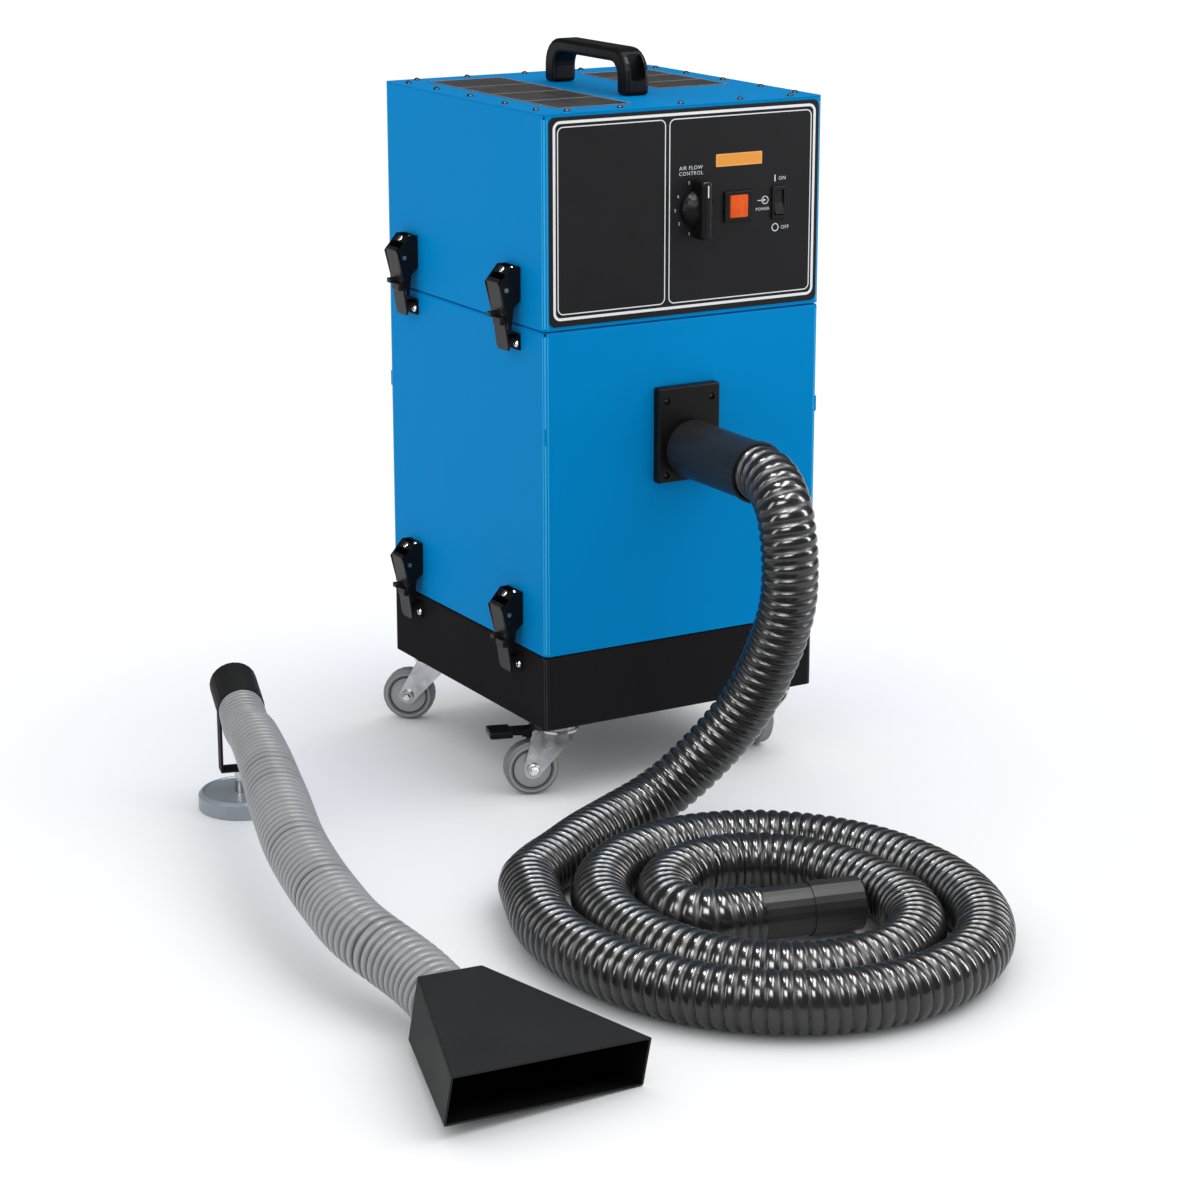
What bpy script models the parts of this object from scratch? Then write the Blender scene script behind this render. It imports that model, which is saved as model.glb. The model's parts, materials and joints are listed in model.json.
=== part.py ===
"""Mobile welding fume extractor: a stack of three latched sections on casters, its hose and its hood.

Metres, +Z up. The front faces -Y and the floor is at z = 0.
"""
from math import atan2, ceil, cos, pi, radians, sin, sqrt

import bmesh
import bpy
from mathutils import Matrix, Vector

# Clearances shared by all pieces
GAP = 0.0003
OVERRUN = 0.01
MERGE = 0.00001
FLAT = radians(0.1)
ROUND_SHARE = 0.5

# Stack of sections
BOX_WIDTH = 0.406
BOX_DEPTH = 0.427
CASTER_HEIGHT = 0.098
TRAY_HEIGHT = 0.098
CABINET_HEIGHT = 0.417
HEAD_HEIGHT = 0.265
SHEET = 0.0015
CORNER_RADIUS = 0.007
EDGE_ROUND = 0.0035
SEAM = 0.0016
RIM_WIDTH = 0.024
GASKET_WIDTH = 0.014
GASKET_INSET = 0.0055
COVER_SHEET = 0.0015

# Latches, measured outward from the wall and up from the seam
LATCH_SPAN = 0.279
LATCH_SETBACK = 0.0037
LATCH_WIDTH = 0.038
CHEEK = 0.002
LATCH_DEPTH = 0.0305
LATCH_TOP = 0.0725
LATCH_TOP_FLAT = 0.012
LATCH_SHOULDER = 0.051
LATCH_BASE_LOW = 0.0305
LATCH_WAIST_OUT = 0.010
LATCH_WAIST_UP = 0.0212
LATCH_FOOT_DROP = 0.006
LATCH_FOOT_DEPTH = 0.0165
LATCH_FOOT_BACK = 0.0130
LATCH_BACK = 0.0025
PIVOT_OUT = 0.0205
PIVOT_UP = 0.0445
PIVOT_PIN = 0.0022
PIVOT_HEAD = 0.0028
PIVOT_HEAD_THICK = 0.0008
KNUCKLE = 0.0055
LEVER_SIDE_CLEARANCE = 0.002
LEVER_THICK = 0.003
LEVER_TOP_OUT = 0.0300
LEVER_TOP_UP = 0.0535
LEVER_ROLL = 0.004
LEVER_MID_OUT = 0.0237
LEVER_END_OUT = 0.0155
LEVER_END_DROP = 0.0335
LEVER_CORNER = 0.006
CATCH_WIDTH = 0.020
CATCH_HEIGHT = 0.010
CATCH_PROUD = 0.0055
CATCH_UP = 0.005
CATCH_ASIDE = -0.004
TAB_WIDTH = 0.010
TAB_HEIGHT = 0.0065
TAB_PROUD = 0.010
TAB_UP = 0.0125
TAB_ASIDE = 0.005
CATCH_ROOT = 0.0015
CATCH_ROUND = 0.001
STRIKE_WIDTH = 0.037
STRIKE_THICK = 0.003
STRIKE_TOP_DROP = 0.012
STRIKE_HEIGHT = 0.0205
HOOK_WIDTH = 0.018
HOOK_REACH = 0.0115
HOOK_THICK = 0.0025
HOOK_DROP = 0.016
HOOK_LIP = 0.005
STRIKE_BOLT_RADIUS = 0.003
STRIKE_BOLT_PROUD = 0.0025
STRIKE_BOLT_ASIDE = 0.0125
STRIKE_BOLT_DROP = 0.025

# Casters
CASTER_INSET_X = 0.040
CASTER_INSET_Y = 0.040
PLATE_SIZE = 0.062
PLATE_THICK = 0.003
PLATE_CORNER = 0.010
RACE_RADIUS = 0.025
RACE_TOP_RADIUS = 0.019
RACE_HEIGHT = 0.007
KING_PIN = 0.005
KING_PIN_HEAD = 0.009
KING_PIN_HEAD_THICK = 0.003
FORK_DISC_RADIUS = 0.027
FORK_DISC_THICK = 0.003
WHEEL_RADIUS = 0.0355
WHEEL_WIDTH = 0.024
WHEEL_SIDE_CLEARANCE = 0.0015
TREAD_ROUND = 0.004
TREAD_EDGE = 0.001
TYRE_DEPTH = 0.011
HUB_RECESS = 0.003
HUB_BOSS_RADIUS = 0.011
FORK_LEG_THICK = 0.0025
FORK_LEG_END = 0.012
FORK_LEG_TOP_WIDTH = 0.044
TRAIL = 0.036
AXLE_RADIUS = 0.004
AXLE_HEAD_RADIUS = 0.0075
AXLE_HEAD_THICK = 0.005
RUNNING = 0.0003
CASTER_TURNS = {"fl": radians(72), "fr": radians(6), "rl": radians(52), "rr": radians(20)}
PEDAL_PIVOT_TRAIL = 0.0325
PEDAL_PIVOT_DROP = 0.0135
PEDAL_PIN = 0.002
PEDAL_LUG = 0.005
PEDAL_KNUCKLE = 0.0042
PEDAL_THICK = 0.005
PEDAL_ARM_WIDTH = 0.022
PEDAL_PAD_WIDTH = 0.036
PEDAL_PAD_LENGTH = 0.030
PEDAL_REACH = 0.092
PEDAL_PAD_THICK = 0.009
PEDAL_PAD_RISE = 0.001
PEDAL_ROUND = 0.002
SHOE_START = 0.007
SHOE_LENGTH = 0.009
SHOE_DEPTH = 0.0076
SHOE_WIDTH = 0.018

# Inlet on the filter cabinet
INLET_Z = 0.447
FLANGE_WIDTH = 0.091
FLANGE_HEIGHT = 0.123
FLANGE_THICK = 0.0125
FLANGE_RISE = 0.019
FLANGE_ROUND = 0.0025
FLANGE_HOLE_X = 0.033
FLANGE_HOLE_Z = 0.048
FLANGE_HOLE_DROP = 0.004
FLANGE_HOLE_RADIUS = 0.0045
FLANGE_HOLE_DEPTH = 0.003
SPIGOT_RADIUS = 0.0355
SPIGOT_LENGTH = 0.024
INLET_BORE = 0.0275
CUFF_RADIUS = 0.037
CUFF_FIT = 0.0005
CUFF_STANDOFF = 0.006
CUFF_LENGTH = 0.153
CUFF_LIP_RADIUS = 0.039
CUFF_LIP = 0.006
HOSE_INSERT = 0.024

# Air slots in the head's rear wall
SLOTS = 9
SLOT_LENGTH = 0.150
SLOT_HEIGHT = 0.005
SLOT_PITCH = 0.012

# Control panel on the head's front
PANEL_WIDTH = 0.392
PANEL_HEIGHT = 0.256
PANEL_SHEET = 0.0015
PANEL_CORNER = 0.008
KNOB_X = 0.0135
KNOB_Z = 0.749
KNOB_HUB_RADIUS = 0.024
KNOB_HUB_DEPTH = 0.020
KNOB_DOME_STEPS = 6
KNOB_BAR_WIDTH = 0.015
KNOB_BAR_HEIGHT = 0.074
KNOB_BAR_DEPTH = 0.028
KNOB_BAR_ROUND = 0.005
KNOB_STANDOFF = 0.001
SHAFT_RADIUS = 0.003
SHAFT_REACH = 0.018
BUSH_RADIUS = 0.0055
CONTROL_SIZE = 0.032
CONTROL_DEPTH = 0.024
LAMP_X = 0.075
LAMP_Z = 0.7475
BEZEL_WIDTH = 0.042
BEZEL_HEIGHT = 0.0385
BEZEL_DEPTH = 0.0035
BEZEL_ROUND = 0.0015
LENS_WIDTH = 0.0265
LENS_HEIGHT = 0.0285
LENS_PROUD = 0.001
LENS_DEPTH = 0.012
LENS_ROUND = 0.0015
LAMP_BODY = 0.033
LAMP_BODY_DEPTH = 0.022
SWITCH_X = 0.136
SWITCH_Z = 0.7475
SWITCH_WIDTH = 0.0215
SWITCH_HEIGHT = 0.0425
SWITCH_FLANGE = 0.003
SWITCH_BODY_WIDTH = 0.018
SWITCH_BODY_HEIGHT = 0.038
SWITCH_BODY_DEPTH = 0.026
ROCKER_WIDTH = 0.0128
ROCKER_HEIGHT = 0.030
ROCKER_DEPTH = 0.009
ROCKER_PEAK = 0.003
ROCKER_POCKET_DEPTH = 0.013
ROCKER_SIDE_CLEARANCE = 0.0004
ROCKER_END_CLEARANCE = 0.0010
ROCKER_TILT = radians(8)
CUTOUT_CLEARANCE = 0.0003

# Carry handle on the top cover
HANDLE_X = -0.0035
HANDLE_Y = 0.003
HANDLE_LENGTH = 0.212
HANDLE_WIDTH = 0.034
HANDLE_HEIGHT = 0.058
HANDLE_LEG = 0.026
HANDLE_BAR = 0.018
HANDLE_SHOULDER = 0.035
HANDLE_INNER_ROUND = 0.019
HANDLE_ROUND = 0.005
POCKET_WIDTH = 0.021
POCKET_DEPTH = 0.014
POCKET_LOW = 0.018
POCKET_HIGH = 0.052
POCKET_ROUND = 0.006

# Filter, fan and motor inside
FILTER_CLEARANCE = 0.004
FILTER_HEIGHT = 0.112
FILTER_FRAME = 0.012
FILTER_TOP_ROOM = 0.0107
FILTER_RAIL = 0.020
PLEATS = 18
PLEAT_THICK = 0.006
PLEAT_EDGE_CLEARANCE = 0.006
FAN_PLATE_SHEET = 0.002
FAN_PLATE_CLEARANCE = 0.001
FAN_EYE = 0.046
IMPELLER_RADIUS = 0.088
IMPELLER_DISC = 0.002
IMPELLER_HEIGHT = 0.028
IMPELLER_CLEARANCE = 0.004
IMPELLER_HUB_RADIUS = 0.012
IMPELLER_HUB_HEIGHT = 0.016
BLADES = 9
BLADE_THICK = 0.0018
BLADE_CURVE = radians(50)
BLADE_INSET = 0.001
MOTOR_RADIUS = 0.066
MOTOR_HEIGHT = 0.096
MOTOR_CAP_RADIUS = 0.040
MOTOR_CAP_HEIGHT = 0.018
MOTOR_FLANGE_RADIUS = 0.112
MOTOR_FLANGE_THICK = 0.004
MOTOR_LEG_RADIUS = 0.005
MOTOR_LEG_CIRCLE = 0.103
MOTOR_SHAFT = 0.005
SHAFT_RUNNING = 0.0003

# Ribbed hose from the inlet to the floor and the coil; its route's heights are above the coil's axis
HOSE_RADIUS = 0.0355
HOSE_VALLEY_DEPTH = 0.0035
HOSE_BORE = 0.0265
HOSE_PITCH = 0.0175
HOSE_FLOOR = 0.0002
COIL_CENTRE = (-0.1999, -0.7318)
COIL_RADIUS = 0.276
COIL_PITCH = 0.0774
COIL_OVAL = 0.0157
COIL_OVAL_ANGLE = radians(90)
COIL_START = radians(150)
COIL_END = radians(867.4)
COIL_STEPS_PER_TURN = 24
COIL_TAIL_RADIUS = 0.0505
COIL_TAIL_HEADING = radians(347)
END_CUFF_LENGTH = 0.1205
END_CUFF_RADIUS = 0.0300
END_CUFF_STEP_RADIUS = 0.0315
END_CUFF_STEP_AT = 0.060
END_CUFF_BORE = 0.0268
HOSE_ROUTE = [
    (-0.0030, -0.4270, 0.4040),
    (-0.0090, -0.4570, 0.3820),
    (-0.0122, -0.4724, 0.3480),
    (-0.0128, -0.4777, 0.3119),
    (-0.0126, -0.4730, 0.2660),
    (-0.0180, -0.4600, 0.2180),
    (-0.0334, -0.4341, 0.1488),
    (-0.0537, -0.4187, 0.1076),
    (-0.0801, -0.4057, 0.0732),
    (-0.1093, -0.3946, 0.0435),
    (-0.1500, -0.3875, 0.0160),
    (-0.2050, -0.3960, 0.0015),
    (-0.2740, -0.4320, 0),
    (-0.3280, -0.4680, 0),
    (-0.3760, -0.4995, 0),
]

# Hood, its hose and its magnetic stand
MAGNET_X = -0.5385
MAGNET_Y = -0.0210
MAGNET_RADIUS = 0.0575
MAGNET_HEIGHT = 0.022
MAGNET_RIM = 0.006
MAGNET_DISH = 0.0015
MAGNET_EDGE = 0.004
STUD_RADIUS = 0.011
STUD_TOP = 0.052
BRACKET_THICK = 0.003
BRACKET_WIDTH = 0.024
BRACKET_REACH = 0.015
BRACKET_ASIDE_SHARE = 0.73
BRACKET_TOP_SHARE = 0.33
CUFF_CENTRE = (-0.5457, -0.0270, 0.1495)
CUFF_HEADING = (-0.254, -0.940, -0.224)
HOOD_CUFF_LENGTH = 0.067
HOOD_CUFF_RADIUS = 0.0300
HOOD_CUFF_BORE = 0.0265
HOOD_HOSE_RADIUS = 0.037
HOOD_HOSE_START_SHARE = 0.78
HOOD_HOSE_SWELL_SHARE = 0.35
HOOD_HOSE_VALLEY_DEPTH = 0.002
HOOD_HOSE_BORE = 0.0245
HOOD_HOSE_PITCH = 0.0115
HOOD_HOSE_ROUTE = [
    (-0.5734, -0.1400, 0.1332),
    (-0.5900, -0.2100, 0.1235),
    (-0.6100, -0.2800, 0.1145),
    (-0.6286, -0.3450, 0.1070),
    (-0.6474, -0.4150, 0.0981),
    (-0.6615, -0.4900, 0.0894),
    (-0.6702, -0.5605, 0.0814),
    (-0.6740, -0.6350, 0.0725),
]
HOOD_REAR_X = -0.654
HOOD_REAR_Y = -0.800
HOOD_YAW = radians(2.4)
HOOD_PITCH = radians(9.7)
HOOD_ROLL = radians(4)
HOOD_LENGTH = 0.203
HOOD_MOUTH_WIDTH = 0.235
HOOD_MOUTH_HEIGHT = 0.057
HOOD_REAR_WIDTH = 0.078
HOOD_REAR_HEIGHT = 0.077
HOOD_MOUTH_RISE = 0.0245
HOOD_WALL = 0.0025
HOOD_EDGE = 0.002
HOOD_BORE = 0.026

# Levels worked out from the stack
TRAY_Z = CASTER_HEIGHT
CABINET_Z = TRAY_Z + TRAY_HEIGHT
HEAD_Z = CABINET_Z + CABINET_HEIGHT
TOP_Z = HEAD_Z + HEAD_HEIGHT
FRONT_Y = -BOX_DEPTH / 2
SIDE_X = BOX_WIDTH / 2
HOSE_AXIS_Z = HOSE_RADIUS + HOSE_FLOOR

MATERIALS = {
    "blue_paint": ((0.0, 0.195, 0.50), 0.35, 0.0),
    "black_paint": ((0.012, 0.012, 0.014), 0.35, 0.0),
    "panel_black": ((0.023, 0.023, 0.025), 0.5, 0.0),
    "latch_black": ((0.010, 0.010, 0.010), 0.4, 0.0),
    "lever_grey": ((0.045, 0.041, 0.041), 0.45, 0.0),
    "zinc": ((0.55, 0.55, 0.56), 0.3, 1.0),
    "wheel_grey": ((0.30, 0.30, 0.30), 0.6, 0.0),
    "moulded_black": ((0.014, 0.014, 0.014), 0.45, 0.0),
    "lens_orange": ((0.87, 0.10, 0.01), 0.3, 0.0),
    "hose_black": ((0.03, 0.028, 0.028), 0.3, 0.0),
    "hose_grey": ((0.36, 0.36, 0.37), 0.4, 0.0),
    "hood_black": ((0.022, 0.022, 0.023), 0.6, 0.0),
    "magnet_grey": ((0.19, 0.23, 0.26), 0.35, 0.6),
    "foam": ((0.02, 0.02, 0.02), 0.9, 0.0),
    "filter_media": ((0.75, 0.73, 0.68), 0.9, 0.0),
    "motor_grey": ((0.25, 0.25, 0.26), 0.5, 0.4),
}


def clear_scene():
    for thing in list(bpy.data.objects):
        bpy.data.objects.remove(thing, do_unlink=True)


def new_collection(name):
    found = bpy.data.collections.new(name)
    bpy.context.scene.collection.children.link(found)
    return found


def make_material(name):
    colour, rough, metal = MATERIALS[name]
    made = bpy.data.materials.get(name) or bpy.data.materials.new(name)
    made.use_nodes = True
    shader = made.node_tree.nodes["Principled BSDF"]
    shader.inputs["Base Color"].default_value = (*colour, 1.0)
    shader.inputs["Roughness"].default_value = rough
    shader.inputs["Metallic"].default_value = metal
    made.diffuse_color = (*colour, 1.0)
    return made


clear_scene()
PARTS = new_collection("welding_fume_extractor")
CUTTERS = new_collection("cutters")
ROOT = bpy.data.objects.new("extractor", None)
PARTS.objects.link(ROOT)


# Mesh builders: each returns a mesh in the frame of the piece that uses it

def mesh_from(bm):
    mesh = bpy.data.meshes.new("shape")
    bm.normal_update()
    bm.to_mesh(mesh)
    bm.free()
    return mesh


def evaluated(thing):
    """Mesh of an object with its curve or modifiers worked out, welded; the object is removed."""
    bpy.context.view_layer.update()
    graph = bpy.context.evaluated_depsgraph_get()
    mesh = bpy.data.meshes.new_from_object(thing.evaluated_get(graph))
    bpy.data.objects.remove(thing, do_unlink=True)
    bm = bmesh.new()
    bm.from_mesh(mesh)
    bmesh.ops.remove_doubles(bm, verts=bm.verts, dist=MERGE)
    bmesh.ops.recalc_face_normals(bm, faces=bm.faces)
    return mesh_from(bm)


def temporary(data):
    thing = bpy.data.objects.new("shape", data)
    CUTTERS.objects.link(thing)
    return thing


def moved(mesh, at=(0, 0, 0), turn=None):
    mesh.transform(Matrix.Translation(at) @ (turn or Matrix.Identity(4)))
    return mesh


def spin(angle, axis):
    return Matrix.Rotation(angle, 4, axis)


FACE_FRONT = spin(pi / 2, "X")
FACE_SIDE = spin(pi / 2, "Z") @ spin(pi / 2, "X")
ALONG_X = spin(pi / 2, "Y")


def block(size, centre=(0, 0, 0), round_by=0, steps=2, upright=False):
    """Box with its edges rounded, or only its upright ones."""
    bm = bmesh.new()
    bmesh.ops.create_cube(bm, size=1)
    bmesh.ops.scale(bm, verts=bm.verts, vec=size)
    if round_by:
        edges = [e for e in bm.edges if not upright or abs(e.verts[0].co.z - e.verts[1].co.z) > MERGE]
        bmesh.ops.bevel(bm, geom=edges, offset=round_by, segments=steps, profile=ROUND_SHARE, affect="EDGES")
    bmesh.ops.translate(bm, verts=bm.verts, vec=centre)
    return mesh_from(bm)


def rod(radius, length, centre=(0, 0, 0), turn=None, sides=24, end_radius=None):
    bm = bmesh.new()
    far = radius if end_radius is None else end_radius
    bmesh.ops.create_cone(bm, cap_ends=True, segments=sides, radius1=radius, radius2=far, depth=length)
    return moved(mesh_from(bm), centre, turn)


def turned(profile, steps=32, closed=False):
    """Revolves (radius, height) points, given top to bottom on the outer side, about Z."""
    mesh = bpy.data.meshes.new("profile")
    count = len(profile)
    edges = [(i, i + 1) for i in range(count - 1)]
    if closed:
        edges.append((count - 1, 0))
    mesh.from_pydata([(r, 0, z) for r, z in profile], edges, [])
    thing = temporary(mesh)
    screw = thing.modifiers.new("turn", "SCREW")
    screw.steps = steps
    screw.render_steps = steps
    screw.use_merge_vertices = True
    screw.merge_threshold = MERGE
    return evaluated(thing)


def slab(outline, thick, turn=None, centre=(0, 0, 0)):
    """Flat outline in XY, given a thickness along Z, then turned and moved."""
    curve = bpy.data.curves.new("outline", "CURVE")
    curve.dimensions = "2D"
    curve.fill_mode = "BOTH"
    curve.extrude = thick / 2
    line = curve.splines.new("POLY")
    line.points.add(len(outline) - 1)
    for point, (x, y) in zip(line.points, outline):
        point.co = (x, y, 0, 1)
    line.use_cyclic_u = True
    return moved(flattened(evaluated(temporary(curve))), centre, turn)


def flattened(mesh):
    """The mesh with each flat end as one face in place of triangles."""
    bm = bmesh.new()
    bm.from_mesh(mesh)
    bmesh.ops.dissolve_limit(bm, angle_limit=FLAT, verts=bm.verts, edges=bm.edges)
    return mesh_from(bm)


def split_wide_faces(mesh):
    """Cuts faces of more than four corners into triangles, so that holes in them stay open."""
    bm = bmesh.new()
    bm.from_mesh(mesh)
    wide = [face for face in bm.faces if len(face.verts) > 4]
    bmesh.ops.triangulate(bm, faces=wide, ngon_method="EAR_CLIP")
    bm.to_mesh(mesh)
    bm.free()


def tube(points, radius, radii=None, sides=2):
    """Round tube along points, with filled caps; radii are shares of the radius, one a point."""
    curve = bpy.data.curves.new("line", "CURVE")
    curve.dimensions = "3D"
    curve.bevel_depth = radius
    curve.bevel_resolution = sides
    curve.use_fill_caps = True
    line = curve.splines.new("POLY")
    line.points.add(len(points) - 1)
    for index, place in enumerate(points):
        line.points[index].co = (*place, 1)
        line.points[index].radius = radii[index] if radii else 1
    return evaluated(temporary(curve))


def arc(centre, radius, start, end, steps):
    return [(centre[0] + radius * cos(start + (end - start) * i / steps),
             centre[1] + radius * sin(start + (end - start) * i / steps)) for i in range(steps + 1)]


def rounded_rectangle(width, height, radius, steps=4):
    x = width / 2 - radius
    y = height / 2 - radius
    corners = [(x, y), (-x, y), (-x, -y), (x, -y)]
    points = []
    for quarter, corner in enumerate(corners):
        points += arc(corner, radius, quarter * pi / 2, (quarter + 1) * pi / 2, steps)
    return points


def add_piece(mesh, name, material, at=(0, 0, 0), turn=None, smooth=True):
    """Adds a mesh as a named piece, parented to the root empty."""
    mesh.name = name
    split_wide_faces(mesh)
    piece = bpy.data.objects.new(name, mesh)
    PARTS.objects.link(piece)
    piece.parent = ROOT
    piece.location = at
    if turn is not None:
        piece.rotation_euler = turn.to_euler()
    mesh.materials.clear()
    mesh.materials.append(make_material(material))
    if smooth:
        mesh.shade_smooth()
        mesh.set_sharp_from_angle(angle=radians(35))
    return piece


def combine(piece, mesh, operation):
    """Cuts or joins a mesh, given in the piece's own frame, by a Boolean that stays on the piece."""
    tool = bpy.data.objects.new("cutter", mesh)
    CUTTERS.objects.link(tool)
    tool.parent = piece
    tool.hide_render = True
    tool.display_type = "WIRE"
    change = piece.modifiers.new(operation.lower(), "BOOLEAN")
    change.operation = operation
    change.object = tool
    change.solver = "EXACT"


def cut(piece, mesh):
    combine(piece, mesh, "DIFFERENCE")


def join(piece, mesh):
    combine(piece, mesh, "UNION")


def boolean(first, others, operation):
    thing = temporary(first)
    for mesh in others:
        change = thing.modifiers.new(operation.lower(), "BOOLEAN")
        change.operation = operation
        change.solver = "EXACT"
        change.object = temporary(mesh)
    tools = [change.object for change in thing.modifiers]
    mesh = evaluated(thing)
    for tool in tools:
        bpy.data.objects.remove(tool, do_unlink=True)
    return mesh


def merged(first, *others):
    """One mesh from several that overlap."""
    return boolean(first, others, "UNION")


def without(first, *others):
    """One mesh with others cut out of it."""
    return boolean(first, others, "DIFFERENCE")


def common(first, *others):
    """The space that all of the meshes share."""
    return boolean(first, others, "INTERSECT")


# Smooth routes

def smooth_route(points, spacing):
    """Evenly spaced points on a smooth curve through the given ones; both end stretches are straight."""
    places = [Vector(p) for p in points]
    headings = [(after - before).normalized() for before, after in zip(places, places[2:])]
    headings[0] = (places[1] - places[0]).normalized()
    headings[-1] = (places[-1] - places[-2]).normalized()
    fine = [places[0]]
    parts = 40
    for i in range(1, len(places) - 2):
        a, b = places[i:i + 2]
        leave = headings[i - 1] * (b - a).length
        arrive = headings[i] * (b - a).length
        for step in range(parts):
            t = step / parts
            rise = 3 * t ** 2 - 2 * t ** 3
            fine.append(a.lerp(b, rise) + leave * (t - 2 * t ** 2 + t ** 3) + arrive * (t ** 3 - t ** 2))
    return evenly(fine + places[-2:], spacing)


def evenly(fine, spacing):
    lengths = [0]
    for a, b in zip(fine, fine[1:]):
        lengths.append(lengths[-1] + (b - a).length)
    count = ceil(lengths[-1] / spacing)
    result = []
    index = 0
    for step in range(count + 1):
        wanted = lengths[-1] * step / count
        while index < len(lengths) - 2 and lengths[index + 1] < wanted:
            index += 1
        span = lengths[index + 1] - lengths[index]
        share = (wanted - lengths[index]) / span if span else 0
        result.append(fine[index].lerp(fine[index + 1], share))
    return result


def route_length(points):
    return sum((b - a).length for a, b in zip(points, points[1:]))


def flat_heading(angle):
    return Vector((cos(angle), sin(angle), 0))


# Sheet-metal sections

def soft_top(mesh, level):
    """Rounds the edge all round a solid's top face."""
    bm = bmesh.new()
    bm.from_mesh(mesh)
    edges = [edge for edge in bm.edges if all(abs(vert.co.z - level) < MERGE for vert in edge.verts)]
    bmesh.ops.bevel(bm, geom=edges, offset=EDGE_ROUND, segments=2, profile=ROUND_SHARE, affect="EDGES")
    return mesh_from(bm)


def section(name, low, height, material, open_bottom, soft):
    """Welded sheet box with an inward rim round each open end; its top edge may be rounded."""
    inside = (BOX_WIDTH - 2 * SHEET, BOX_DEPTH - 2 * SHEET, height - 2 * SHEET)
    mouth = (inside[0] - 2 * RIM_WIDTH, inside[1] - 2 * RIM_WIDTH, 2 * (SHEET + OVERRUN))
    shell = block((BOX_WIDTH, BOX_DEPTH, height), (0, 0, height / 2), CORNER_RADIUS, 3, upright=True)
    if soft:
        shell = soft_top(shell, height)
    tools = [block(inside, (0, 0, height / 2)), block(mouth, (0, 0, height))]
    if open_bottom:
        tools.append(block(mouth))
    return add_piece(without(shell, *tools), name, material, (0, 0, low))


def strike_shape():
    """Plate bolted to the wall, with the hook that the latch closes over."""
    root = SHEET / 2
    plate = block((STRIKE_THICK + root, STRIKE_WIDTH, STRIKE_HEIGHT),
                  ((root - STRIKE_THICK) / 2, 0, -STRIKE_TOP_DROP - STRIKE_HEIGHT / 2))
    outline = [(0, -HOOK_DROP), (-HOOK_REACH, -HOOK_DROP), (-HOOK_REACH, -HOOK_DROP - HOOK_LIP),
               (HOOK_THICK - HOOK_REACH, -HOOK_DROP - HOOK_LIP),
               (HOOK_THICK - HOOK_REACH, -HOOK_DROP - HOOK_THICK), (0, -HOOK_DROP - HOOK_THICK)]
    hook = slab(outline, HOOK_WIDTH, FACE_FRONT)
    long = STRIKE_THICK + STRIKE_BOLT_PROUD
    bolts = [rod(STRIKE_BOLT_RADIUS, long, (-long / 2, side * STRIKE_BOLT_ASIDE, -STRIKE_BOLT_DROP), ALONG_X, 10)
             for side in (-1, 1)]
    return merged(plate, hook, *bolts)


def latch_places():
    """Corner name, side and place along the wall of each latch in a row."""
    for side_name, side in (("left", -1), ("right", 1)):
        for end_name, end in (("front", -1), ("rear", 1)):
            yield end_name + "_" + side_name, side, LATCH_SETBACK + end * LATCH_SPAN / 2


def add_strikes(piece, seam):
    for _, side, y in latch_places():
        turn = Matrix.Identity(4) if side < 0 else spin(pi, "Z")
        join(piece, moved(strike_shape(), (side * SIDE_X, y, seam), turn))


def gasket(name, seam):
    thick = SEAM - 2 * GAP
    width = BOX_WIDTH - 2 * GASKET_INSET
    depth = BOX_DEPTH - 2 * GASKET_INSET
    ring = slab(rounded_rectangle(width, depth, CORNER_RADIUS), thick)
    hole = block((width - 2 * GASKET_WIDTH, depth - 2 * GASKET_WIDTH, thick + OVERRUN))
    add_piece(without(ring, hole), name, "foam", (0, 0, seam - GAP - thick / 2), smooth=False)


def base_tray():
    height = TRAY_HEIGHT - SEAM
    tray = section("base_tray", TRAY_Z, height, "black_paint", False, True)
    add_strikes(tray, TRAY_HEIGHT)


def filter_ledge():
    """Height of the filter's rails above the cabinet's floor."""
    return CABINET_HEIGHT - FILTER_TOP_ROOM - FILTER_HEIGHT - GAP


def filter_cabinet():
    height = CABINET_HEIGHT - SEAM
    cabinet = section("filter_cabinet", CABINET_Z, height, "blue_paint", True, True)
    add_strikes(cabinet, CABINET_HEIGHT)
    cut(cabinet, rod(INLET_BORE, SHEET + 2 * OVERRUN, (0, FRONT_Y, INLET_Z - CABINET_Z), FACE_FRONT))
    ledge_z = filter_ledge() - FILTER_RAIL / 2
    for side in (-1, 1):
        rail = block((FILTER_RAIL, BOX_DEPTH - SHEET, FILTER_RAIL),
                     (side * (SIDE_X - SHEET / 2 - FILTER_RAIL / 2), 0, ledge_z))
        join(cabinet, rail)


def blower_head():
    height = HEAD_HEIGHT - COVER_SHEET - GAP
    head = section("blower_head", HEAD_Z, height, "blue_paint", True, False)
    for tool in panel_holes():
        cut(head, moved(tool, (0, FRONT_Y, -HEAD_Z)))
    for tool in exhaust_slots():
        cut(head, tool)


def exhaust_slots():
    """Cutters for the row of air slots in the head's rear wall."""
    first = HEAD_HEIGHT / 2 - (SLOTS - 1) * SLOT_PITCH / 2
    return [block((SLOT_LENGTH, 2 * OVERRUN, SLOT_HEIGHT), (0, BOX_DEPTH / 2, first + i * SLOT_PITCH))
            for i in range(SLOTS)]


def top_cover():
    cover = slab(rounded_rectangle(BOX_WIDTH, BOX_DEPTH, CORNER_RADIUS), COVER_SHEET)
    add_piece(cover, "top_cover", "blue_paint", (0, 0, TOP_Z - COVER_SHEET / 2))


# Latches

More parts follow.
